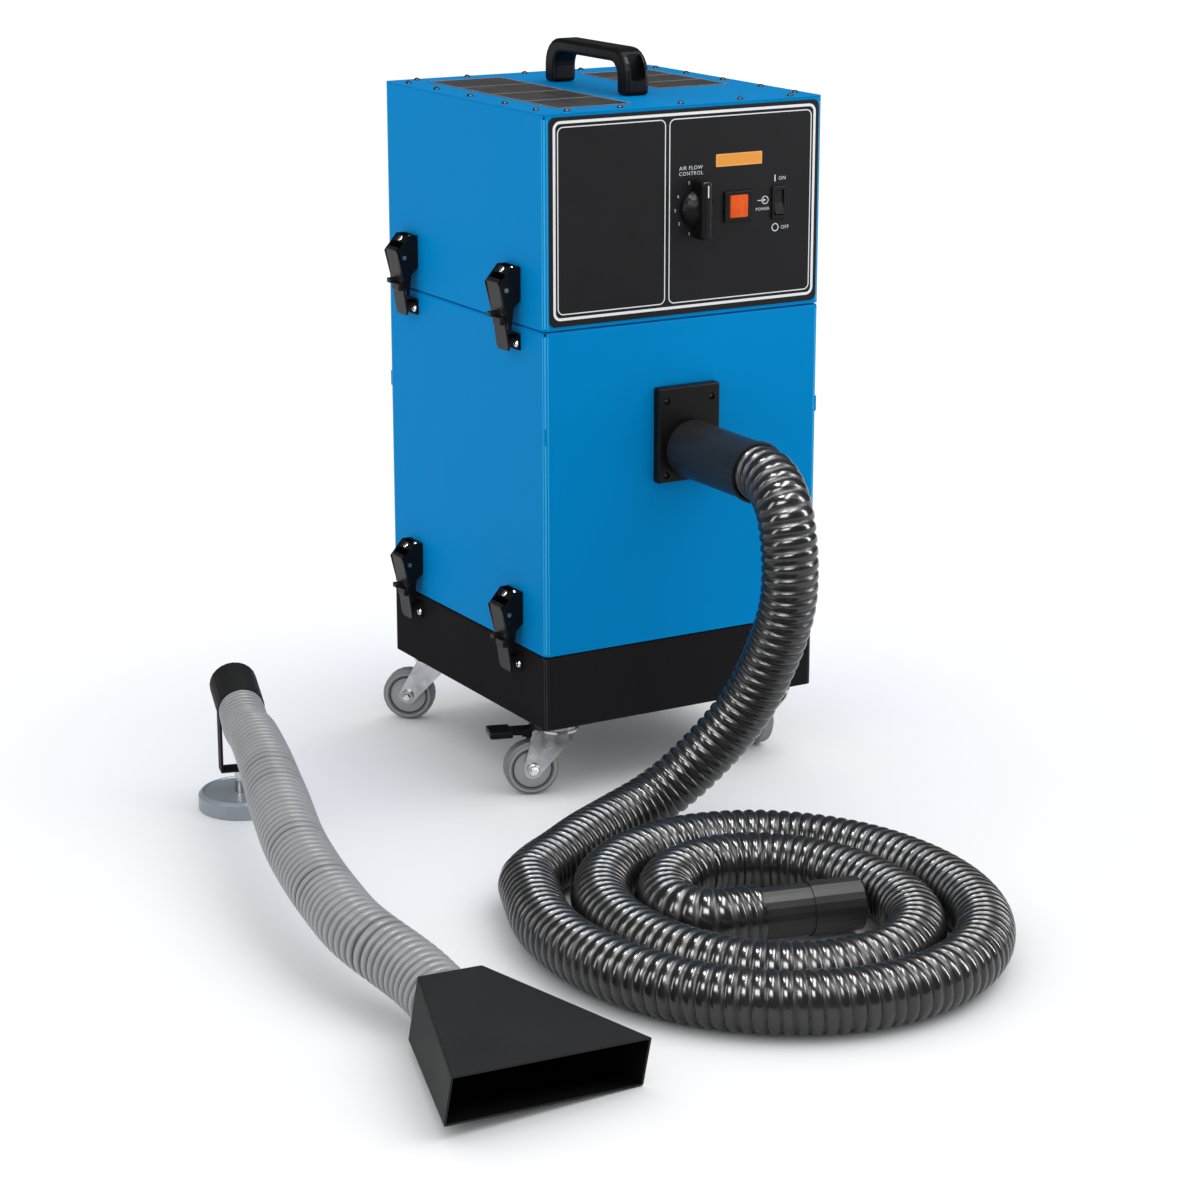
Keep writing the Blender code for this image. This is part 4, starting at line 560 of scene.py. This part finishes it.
def panel_print():
    white = surface("white_screen_print", (0.80, 0.80, 0.81), 0.45, mottle=0.02, bump=0.05)
    lines = [
        frame_loops(-0.191, 0.191, 0.625, 0.869, 0.010, 0.0034),
        frame_loops(-0.185, -0.031, 0.632, 0.862, 0.008, 0.0013),
        frame_loops(-0.026, 0.185, 0.632, 0.862, 0.008, 0.0013),
    ]
    marks = [
        [rounded(0.0014, 0.0085, 0.0004, (0.1309, 0.7784))],
        [circle(0.0052, (0.1321, 0.7160)), circle(0.0041, (0.1321, 0.7160))[::-1]],
        [circle(0.0052, (0.1163, 0.7518)), circle(0.0043, (0.1163, 0.7518))[::-1]],
        [rounded(0.0105, 0.0009, 0.0003, (0.1103, 0.7518))],
        [[(0.1175, 0.7518), (0.1140, 0.7538), (0.1140, 0.7498)]],
    ]
    meshes = [printed(loops) for loops in lines + marks]
    words = [
        ("AIR FLOW", 0.0068, 0.0058, 0.7997), ("CONTROL", 0.0068, 0.0059, 0.7929), ("POWER", 0.0056, 0.1128, 0.7405),
        ("ON", 0.0066, 0.1418, 0.7777), ("OFF", 0.0066, 0.1468, 0.7152), ("5", 0.0056, 0.0031, 0.7813),
        ("4", 0.0056, -0.0129, 0.7651), ("3", 0.0056, -0.0171, 0.7480), ("2", 0.0056, -0.0111, 0.7313),
        ("1", 0.0056, 0.0037, 0.7176),
    ]
    meshes += [shifted(text_mesh(word, size), at(x, PRINT_Y, z)) for word, size, x, z in words]
    new_piece("panel_white_print", joined(meshes), white, "head", smooth=0)
    amber = surface("amber_plate", (0.80, 0.30, 0.015), 0.4, mottle=0.04, bump=0.05)
    plate = shifted(outline_mesh([rounded(0.0685, 0.0160, 0.0008, (0.0766, 0.8062))], 0.0003), at(0, PRINT_Y, 0))
    new_piece("amber_plate", plate, amber, "head", smooth=0)
    pale = surface("amber_plate_line", (0.86, 0.56, 0.24), 0.4, mottle=0.04, bump=0.05)
    line = frame_loops(0.0432, 0.1100, 0.7989, 0.8135, 0.0008, 0.0005)
    new_piece("amber_plate_line", shifted(printed(line), (0, -PRINT_THICK, 0)), pale, "head", smooth=0)


def lathe(profile, steps=24):
    """Revolved mesh about Z from (radius, height) points, outer side from top to bottom."""
    bm = bmesh.new()
    rings = []
    for radius, height in profile:
        if radius < 1e-7:
            rings.append([bm.verts.new((0, 0, height))])
            continue
        rings.append([bm.verts.new((radius * cos(2 * pi * i / steps), radius * sin(2 * pi * i / steps), height))
                      for i in range(steps)])
    for upper, lower in zip(rings, rings[1:]):
        for i in range(steps):
            j = (i + 1) % steps
            corners = []
            for vert in (upper[i % len(upper)], lower[i % len(lower)], lower[j % len(lower)], upper[j % len(upper)]):
                if vert not in corners:
                    corners.append(vert)
            if len(corners) > 2:
                bm.faces.new(corners)
    bmesh.ops.recalc_face_normals(bm, faces=bm.faces)
    mesh = bpy.data.meshes.new("lathe")
    bm.to_mesh(mesh)
    bm.free()
    return mesh


def dome(radius, height, socket=0.0):
    """Round-headed fastener standing on z = 0, with an optional recess in its crown."""
    profile = [(radius * sin(radians(a)), height * cos(radians(a))) for a in (0, 20, 40, 60, 78, 90)]
    if socket:
        profile = [(0, height * 0.45), (socket, height * 0.5), (socket, height * 0.97)] + profile[2:]
    return lathe(profile + [(radius, -0.0005)])


def cover_screws():
    black = surface("black_screw", (0.012, 0.012, 0.012), 0.35, metal=0.4, bump=0.1)
    inset_x, inset_y = SIDE_X - 0.014, -FRONT_Y - 0.014
    places = []
    for share in (-0.93, -0.5, 0, 0.5, 0.93):
        for side in (-1, 1):
            places.append(at(share * SIDE_X * 0.86, side * inset_y, TOP_Z))
            places.append(at(side * inset_x, share * inset_y * 0.92, TOP_Z))
    meshes = [shifted(dome(0.0042, 0.0032, 0.0018), place) for place in places]
    new_piece("cover_screws", joined(meshes), black, "head")


def top_labels():
    ground = surface("dark_foil_label", (0.060, 0.055, 0.052), 0.35, mottle=0.18, mottle_scale=30, spread=0.08,
                     bump=0.1)
    pale = surface("pale_label_lines", (0.50, 0.50, 0.51), 0.4, mottle=0.05, bump=0.05)
    flat = Matrix.Rotation(-pi / 2, 4, "X")
    for name, x0, x1, y0, y1, parts in (("left", -0.159, -0.050, -0.170, 0.175, 4),
                                        ("right", 0.060, 0.170, -0.047, 0.159, 3)):
        centre = ((x0 + x1) / 2, (y0 + y1) / 2)
        width, depth = x1 - x0, y1 - y0
        mesh = outline_mesh([rounded(width, depth, 0.002, centre)], 0.0003)
        mesh.transform(flat)
        new_piece("top_label_" + name, shifted(mesh, at(0, 0, TOP_Z + 0.00015)), ground, "head",
                  smooth=0)
        lines = [frame_loops(x0 + 0.002, x1 - 0.002, y0 + 0.002, y1 - 0.002, 0.002, 0.0008)]
        for i in range(1, parts):
            lines.append([rounded(width - 0.008, 0.0006, 0.0002, (centre[0], y0 + depth * i / parts))])
        mesh = joined([outline_mesh(loops, PRINT_THICK) for loops in lines])
        mesh.transform(flat)
        new_piece("top_label_lines_" + name, shifted(mesh, at(0, 0, TOP_Z + 0.0004)), pale, "head",
                  smooth=0)


# Bodies above and below each seam
SECTIONS = {"lower": ("cabinet", "base"), "upper": ("head", "cabinet")}


def latch_rivets():
    zinc = surface("rivet_zinc", (0.80, 0.80, 0.80), 0.20, metal=1.0, bump=0.05)
    for level, seam in SEAMS.items():
        rivets, bolts = [], []
        for side, y in latches(level):
            turn = Matrix.Rotation(side * pi / 2, 4, "Y")
            rivets.append(shifted(dome(0.0046, 0.0028), at(side * (SIDE_X + GAP + 0.0025), y, seam + 0.0665), turn))
            for aside, radius in ((-0.0125, 0.0046), (0.0125, 0.0042)):
                place = at(side * (SIDE_X + 0.003), y + aside, seam - 0.025)
                bolts.append(shifted(dome(radius, 0.0034), place, turn))
        above, below = SECTIONS[level]
        new_piece("latch_rivets_" + level, joined(rivets), zinc, above)
        new_piece("strike_bolts_" + level, joined(bolts), zinc, below)


def corner_beads():
    """Folded sheet's rounded upright corners, just under the skin of each section; the blue ones are a lighter blue
    than the paint, a painted highlight along the corners.
    """
    # Lighter blue than the paint: a painted highlight along the rounded corners
    painted_highlight_blue = surface("blue_corner_painted_highlight", (0.03, 0.40, 0.74), 0.30, mottle=0.03, bump=0.05, specular=0.2)
    dark = surface("black_corner_edge", (0.012, 0.012, 0.013), 0.30, mottle=0.05, bump=0.05, specular=0.3)
    radius = CORNER_RADIUS - 0.0002
    reach_x, reach_y = SIDE_X - CORNER_RADIUS, -FRONT_Y - CORNER_RADIUS
    for body, low, high, material, slot in (("base", 0.0985, 0.192, dark, "black_paint"),
                                            ("cabinet", 0.1985, 0.606, painted_highlight_blue, "blue_paint"),
                                            ("head", 0.6155, 0.871, painted_highlight_blue, "blue_paint")):
        profile = [(0, high), (radius, high), (radius, low), (0, low)]
        beads = [shifted(lathe(profile, 48), at(x * reach_x, y * reach_y, 0)) for x in (-1, 1) for y in (-1, 1)]
        new_piece("corner_beads_" + body, joined(beads), material, body)


def latch_caps():
    """Bridge plate and rivet across the top of each latch's channel."""
    black = surface("latch_cap_black", (0.006, 0.006, 0.0065), 0.28, mottle=0.1, bump=0.1, specular=0.2)
    zinc = surface("latch_cap_rivet", (0.80, 0.80, 0.80), 0.20, metal=1.0, bump=0.05)
    thick = 0.0014
    for level, seam in SEAMS.items():
        plates, rivets = [], []
        for side, y in latches(level):
            slope = Matrix.Rotation(side * radians(49), 4, "Y")
            place = at(side * (SIDE_X + GAP + 0.0152), y, seam + 0.0672)
            plates.append(shifted(box_mesh(0.0105, 0.0336, thick), place, slope))
            rivets.append(shifted(dome(0.0042, 0.0022), place, slope @ Matrix.Translation((0, 0, thick / 2))))
        above = SECTIONS[level][0]
        new_piece("latch_caps_" + level, joined(plates), black, above)
        new_piece("latch_cap_rivets_" + level, joined(rivets), zinc, above)


def box_mesh(width, depth, thick):
    bm = bmesh.new()
    bmesh.ops.create_cube(bm, size=1, matrix=Matrix.Diagonal((width, depth, thick, 1)))
    bmesh.ops.bevel(bm, geom=bm.edges[:], offset=thick * 0.3, segments=2, profile=0.5, affect="EDGES")
    mesh = bpy.data.meshes.new("box")
    bm.to_mesh(mesh)
    bm.free()
    return mesh


FORK_SIDE = 0.0162
NUT_PROFILE = [(0, 0.0078), (0.0042, 0.0078), (0.0060, 0.0066), (0.0060, 0), (0, 0)]
WASHER_PROFILE = [(0, 0.0054), (0.0080, 0.0054), (0.0086, 0.0046), (0.0086, 0), (0, 0)]


def axle_nuts():
    """Bright bolt head and nut on the two sides of each caster's fork."""
    zinc = surface("axle_nut_zinc", (0.86, 0.86, 0.87), 0.16, metal=1.0, mottle=0.05, bump=0.05)
    washer = surface("axle_washer_zinc", (0.5, 0.5, 0.51), 0.3, metal=1.0, mottle=0.1, bump=0.1)
    for corner in CORNERS:
        point, heading = wheel_axle(corner)
        nuts, washers = [], []
        for side in (-1, 1):
            turn = (heading * side).to_track_quat("Z", "Y").to_matrix().to_4x4()
            place = point + heading * side * FORK_SIDE
            nuts.append(shifted(lathe(NUT_PROFILE, 6), place, turn))
            washers.append(shifted(lathe(WASHER_PROFILE, 32), place, turn))
        new_piece("axle_nuts_" + corner, joined(nuts), zinc, "swivel_" + corner, smooth=20)
        new_piece("axle_washers_" + corner, joined(washers), washer, "swivel_" + corner)


WHEEL_SIDE = 0.0120


def wheel_rings():
    """Groove and pale bead on both sides of each wheel, between rim and tyre."""
    groove = surface("wheel_groove", (0.035, 0.035, 0.036), 0.6, mottle=0.1, bump=0.1, specular=0.1)
    bead = surface("wheel_bead", (0.36, 0.36, 0.365), 0.5, mottle=0.06, bump=0.1, specular=0.1)
    for corner in CORNERS:
        point, heading = wheel_axle(corner)
        for name, inner, outer, material in (("grooves", 0.0248, 0.0262, groove), ("beads", 0.0290, 0.0312, bead)):
            rings = []
            for side in (-1, 1):
                turn = (heading * side).to_track_quat("-Y", "Z").to_matrix().to_4x4()
                ring = outline_mesh([circle(outer), circle(inner)], 0.0004)
                rings.append(shifted(ring, point + heading * side * WHEEL_SIDE, turn))
            new_piece("wheel_%s_%s" % (name, corner), joined(rings), material, "wheel_" + corner)


def flange_screws():
    black = surface("flange_screw_black", (0.02, 0.02, 0.02), 0.3, metal=0.5, bump=0.05)
    turn = Matrix.Rotation(pi / 2, 4, "X")
    meshes = []
    for x in (-0.033, 0.033):
        for z in (-0.048, 0.048):
            meshes.append(shifted(dome(0.0038, 0.0024, 0.0016), at(x, FRONT_Y - 0.0098, 0.462 + z), turn))
    new_piece("flange_screws", joined(meshes), black, "cabinet")


KNOB_FACE_Y = PANEL_Y - 0.001 - 0.02815


def knob_pointer():
    white = surface("knob_pointer_white", (0.78, 0.78, 0.78), 0.4, bump=0.05)
    mesh = outline_mesh([rounded(0.0016, 0.015, 0.0007, (0, 0.024))], 0.0003)
    new_piece("knob_pointer", shifted(mesh, at(0.0135, KNOB_FACE_Y, 0.749)), white, "knob", smooth=0)


# Hoses

HOSE_RADIUS = 0.0355
HOSE_RIB_DEPTH = 0.0030
HOSE_RIB_PITCH = 0.0137
HOSE_SPACING = 0.00140
HOSE_WALL = 0.002
HOSE_SIDES = 36
HOSE_AXIS_Z = 0.0357
SKIN = 0.0004
COIL_CENTRE = (-0.1999, -0.7318)
COIL_RADIUS = 0.276
COIL_PITCH = 0.0774
COIL_OVAL = 0.0157
COIL_OVAL_ANGLE = radians(90)
COIL_START = radians(150)
COIL_END = radians(867.4)
COIL_TAIL_RADIUS = 0.0505
COIL_TAIL_HEADING = radians(347)
HOSE_START = (0, -0.3616, 0.447)
HOSE_ROUTE = [
    (-0.0030, -0.4270, 0.4040), (-0.0090, -0.4570, 0.3820), (-0.0122, -0.4724, 0.3480), (-0.0128, -0.4777, 0.3119),
    (-0.0126, -0.4730, 0.2660), (-0.0180, -0.4600, 0.2180), (-0.0334, -0.4341, 0.1488), (-0.0537, -0.4187, 0.1076),
    (-0.0801, -0.4057, 0.0732), (-0.1093, -0.3946, 0.0435), (-0.1500, -0.3875, 0.0160), (-0.2050, -0.3960, 0.0015),
    (-0.2740, -0.4320, 0), (-0.3280, -0.4680, 0), (-0.3760, -0.4995, 0),
]


def flat_heading(angle):
    return Vector((cos(angle), sin(angle), 0))


def curve_through(points, parts=40):
    """Smooth curve through points with straight end stretches, the same as the CAD route's."""
    places = [Vector(p) for p in points]
    headings = [(after - before).normalized() for before, after in zip(places, places[2:])]
    headings[0] = (places[1] - places[0]).normalized()
    headings[-1] = (places[-1] - places[-2]).normalized()
    fine = [places[0]]
    for i in range(1, len(places) - 2):
        a, b = places[i:i + 2]
        leave = headings[i - 1] * (b - a).length
        arrive = headings[i] * (b - a).length
        for step in range(parts):
            t = step / parts
            rise = 3 * t ** 2 - 2 * t ** 3
            fine.append(a.lerp(b, rise) + leave * (t - 2 * t ** 2 + t ** 3) + arrive * (t ** 3 - t ** 2))
    return fine + places[-2:]


def evenly(fine, spacing):
    lengths = [0]
    for a, b in zip(fine, fine[1:]):
        lengths.append(lengths[-1] + (b - a).length)
    count = ceil(lengths[-1] / spacing)
    result = []
    index = 0
    for step in range(count + 1):
        wanted = lengths[-1] * step / count
        while index < len(lengths) - 2 and lengths[index + 1] < wanted:
            index += 1
        span = lengths[index + 1] - lengths[index]
        share = (wanted - lengths[index]) / span if span else 0
        result.append(fine[index].lerp(fine[index + 1], share))
    return result, lengths[-1]


def on_coil(angle):
    turns = (angle - COIL_START) / (2 * pi)
    radius = COIL_RADIUS - COIL_PITCH * turns + COIL_OVAL * cos(2 * (angle - COIL_OVAL_ANGLE))
    return Vector((*COIL_CENTRE, HOSE_AXIS_Z)) + radius * flat_heading(angle)


def coil_heading(angle):
    ahead = on_coil(angle + radians(0.1)) - on_coil(angle - radians(0.1))
    return atan2(ahead.y, ahead.x)


def coil_line():
    count = 180
    spiral = [on_coil(COIL_START + (COIL_END - COIL_START) * i / count) for i in range(count + 1)]
    begin = flat_heading(coil_heading(COIL_START))
    heading = coil_heading(COIL_END)
    turn_left = (COIL_TAIL_HEADING - heading) % (2 * pi)
    hub = spiral[-1] + COIL_TAIL_RADIUS * flat_heading(heading + pi / 2)
    steps = 30
    tail = [hub + COIL_TAIL_RADIUS * flat_heading(heading - pi / 2 + turn_left * i / steps)
            for i in range(1, steps + 1)]
    end = tail[-1] + flat_heading(COIL_TAIL_HEADING) * HOSE_RADIUS
    return [spiral[0] - begin * HOSE_RADIUS] + spiral + tail + [end], begin


def hose_line():
    coil, begin = coil_line()
    start = Vector(HOSE_START)
    route = [start, start + Vector((0, -HOSE_RADIUS, 0))]
    route += [Vector((x, y, HOSE_AXIS_Z + rise)) for x, y, rise in HOSE_ROUTE]
    route += [coil[0] - begin * HOSE_RADIUS, coil[0]]
    return [ORIGIN + p for p in curve_through(route) + coil[1:]]


def frames_along(points):
    """A side and a rise for every point, turning no more than the line does."""
    ahead = [(points[min(i + 1, len(points) - 1)] - points[max(i - 1, 0)]).normalized() for i in range(len(points))]
    side = ahead[0].cross(Vector((0, 0, 1))).normalized()
    frames = []
    for direction in ahead:
        side = (side - direction * side.dot(direction)).normalized()
        frames.append((side, side.cross(direction)))
    return frames


def corrugated(name, line, radius_at, depth, pitch_at, valley_shade_at, spacing, sides, sharpness, wall, helical=True):
    """Corrugated hose: crests with narrow valleys between, and a smooth bore.

    The radius, the ribs' pitch and the strength of the painted shade in the valleys are given along the hose by its
    share from 0 to 1.
    """
    points, length = evenly(line, spacing)
    frames = frames_along(points)
    bm = bmesh.new()
    layer = bm.verts.layers.float.new("valley")
    rings, inner = [], []
    last = len(points) - 1
    ribs = 0
    for index, (point, (side, rise)) in enumerate(zip(points, frames)):
        share = index / last
        ribs += length / last / pitch_at(share)
        ring, bore = [], []
        for k in range(sides):
            turn = 2 * pi * k / sides
            phase = ribs + (k / sides if helical else 0)
            wave = 0.5 - 0.5 * cos(2 * pi * phase)
            valley = 0.3 * wave + 0.7 * wave ** sharpness
            outward = side * cos(turn) + rise * sin(turn)
            vert = bm.verts.new(point + outward * (radius_at(share) - depth * valley))
            # Weight of the painted shade in the valleys, stored in the mesh for the material
            vert[layer] = valley * valley_shade_at(share)
            ring.append(vert)
            if index % 8 == 0 or index == last:
                bore.append(bm.verts.new(point + outward * (radius_at(share) - depth - wall)))
        rings.append(ring)
        if bore:
            inner.append(bore)
    skins = rings + inner[::-1]
    for a, b in zip(skins, skins[1:] + skins[:1]):
        for k in range(sides):
            j = (k + 1) % sides
            bm.faces.new((a[k], a[j], b[j], b[k]))
    bmesh.ops.recalc_face_normals(bm, faces=bm.faces)
    mesh = bpy.data.meshes.new(name)
    bm.to_mesh(mesh)
    bm.free()
    return mesh, points, length


def main_hose():
    # Valleys between the ribs painted near-black: painted shade in the creases
    valley = Painted("valley", (0.002, 0.002, 0.002), 0.5)
    rubber = surface("glossy_hose_rubber", (0.016, 0.0155, 0.0152), 0.18, mottle=0.15, mottle_scale=30, spread=0.04,
                     bump=0.05, bump_scale=160, relief=0.0003, specular=0.6, second=valley)
    line = hose_line()
    mesh, points, length = corrugated("suction_hose", line, lambda share: HOSE_RADIUS - SKIN, HOSE_RIB_DEPTH,
                                      lambda share: HOSE_RIB_PITCH, lambda share: 1.0, HOSE_SPACING, HOSE_SIDES,
                                      5.0, HOSE_WALL)
    piece = new_piece("suction_hose", mesh, rubber, None, smooth=60)
    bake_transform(piece)
    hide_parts("hose_run", "hose_coil")


HOOD_HOSE_RADIUS = 0.037
HOOD_HOSE_RIB_DEPTH = 0.0028
HOOD_HOSE_RIB_PITCH = 0.0108
HOOD_HOSE_SPACING = 0.0010
HOOD_HOSE_WALL = 0.0015
HOOD_HOSE_START_SHARE = 0.78
HOOD_HOSE_SWELL_SHARE = 0.35
HOOD_HOSE_GAPS = (0.27, 0.33, 0.52, 0.66, 0.84)
CUFF_CENTRE = Vector((-0.5457, -0.0270, 0.1495))
CUFF_LENGTH = 0.067
CUFF_HEADING = Vector((-0.254, -0.940, -0.224)).normalized()
HOOD_REAR = Vector((-0.654, -0.800, 0.04622))
HOOD_BACK = Vector((-0.041277, 0.984839, 0.168489))
HOOD_HOSE_ROUTE = [
    (-0.5734, -0.1400, 0.1332), (-0.5900, -0.2100, 0.1235), (-0.6100, -0.2800, 0.1145), (-0.6286, -0.3450, 0.1070),
    (-0.6474, -0.4150, 0.0981), (-0.6615, -0.4900, 0.0894), (-0.6702, -0.5605, 0.0814), (-0.6740, -0.6350, 0.0725),
]


def hood_hose_radius(share):
    grown = min(1, share / HOOD_HOSE_SWELL_SHARE)
    return HOOD_HOSE_RADIUS * (HOOD_HOSE_START_SHARE + (1 - HOOD_HOSE_START_SHARE) * grown) - SKIN


def hood_hose_pitch(share):
    """Ribs lie close behind the cuff and stand open in a few places."""
    open_share = sum(exp(-((share - place) / 0.016) ** 2) for place in HOOD_HOSE_GAPS)
    return HOOD_HOSE_RIB_PITCH * (0.70 + 0.30 * min(1, share / 0.25)) * (1 + 0.25 * open_share)


def hood_hose_valley_shade(share):
    """Painted shade in the valleys, darkest where the ribs stand open."""
    return 0.6 + 0.4 * min(1, sum(exp(-((share - place) / 0.022) ** 2) for place in HOOD_HOSE_GAPS))


def hood_hose():
    # Valleys between the ribs painted near-black: painted shade in the creases and open gaps
    valley = Painted("valley", (0.012, 0.012, 0.012), 0.6)
    grey = surface("grey_hose_plastic", (0.33, 0.33, 0.34), 0.34, mottle=0.05, mottle_scale=14, spread=0.05,
                   bump=0.06, bump_scale=200, specular=0.25, second=valley)
    start = CUFF_CENTRE + CUFF_HEADING * (CUFF_LENGTH / 2 + GAP)
    end = HOOD_REAR + HOOD_BACK * GAP
    route = [start, start + CUFF_HEADING * HOOD_HOSE_RADIUS]
    route += [Vector(p) for p in HOOD_HOSE_ROUTE]
    route += [end + HOOD_BACK * HOOD_HOSE_RADIUS, end]
    line = [ORIGIN + p for p in curve_through(route)]
    mesh, points, total = corrugated("hood_hose_ribbed", line, hood_hose_radius, HOOD_HOSE_RIB_DEPTH,
                                     hood_hose_pitch, hood_hose_valley_shade, HOOD_HOSE_SPACING, HOSE_SIDES, 4.0,
                                     HOOD_HOSE_WALL, helical=False)
    piece = new_piece("hood_hose_ribbed", mesh, grey, "hood_set", smooth=60)
    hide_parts("hood_hose")


add_camera()
main_hose()
hood_hose()
light_scene()
add_floor()
dress_nodes()
panel_print()
cover_screws()
top_labels()
latch_rivets()
latch_caps()
corner_beads()
axle_nuts()
wheel_rings()
flange_screws()
knob_pointer()
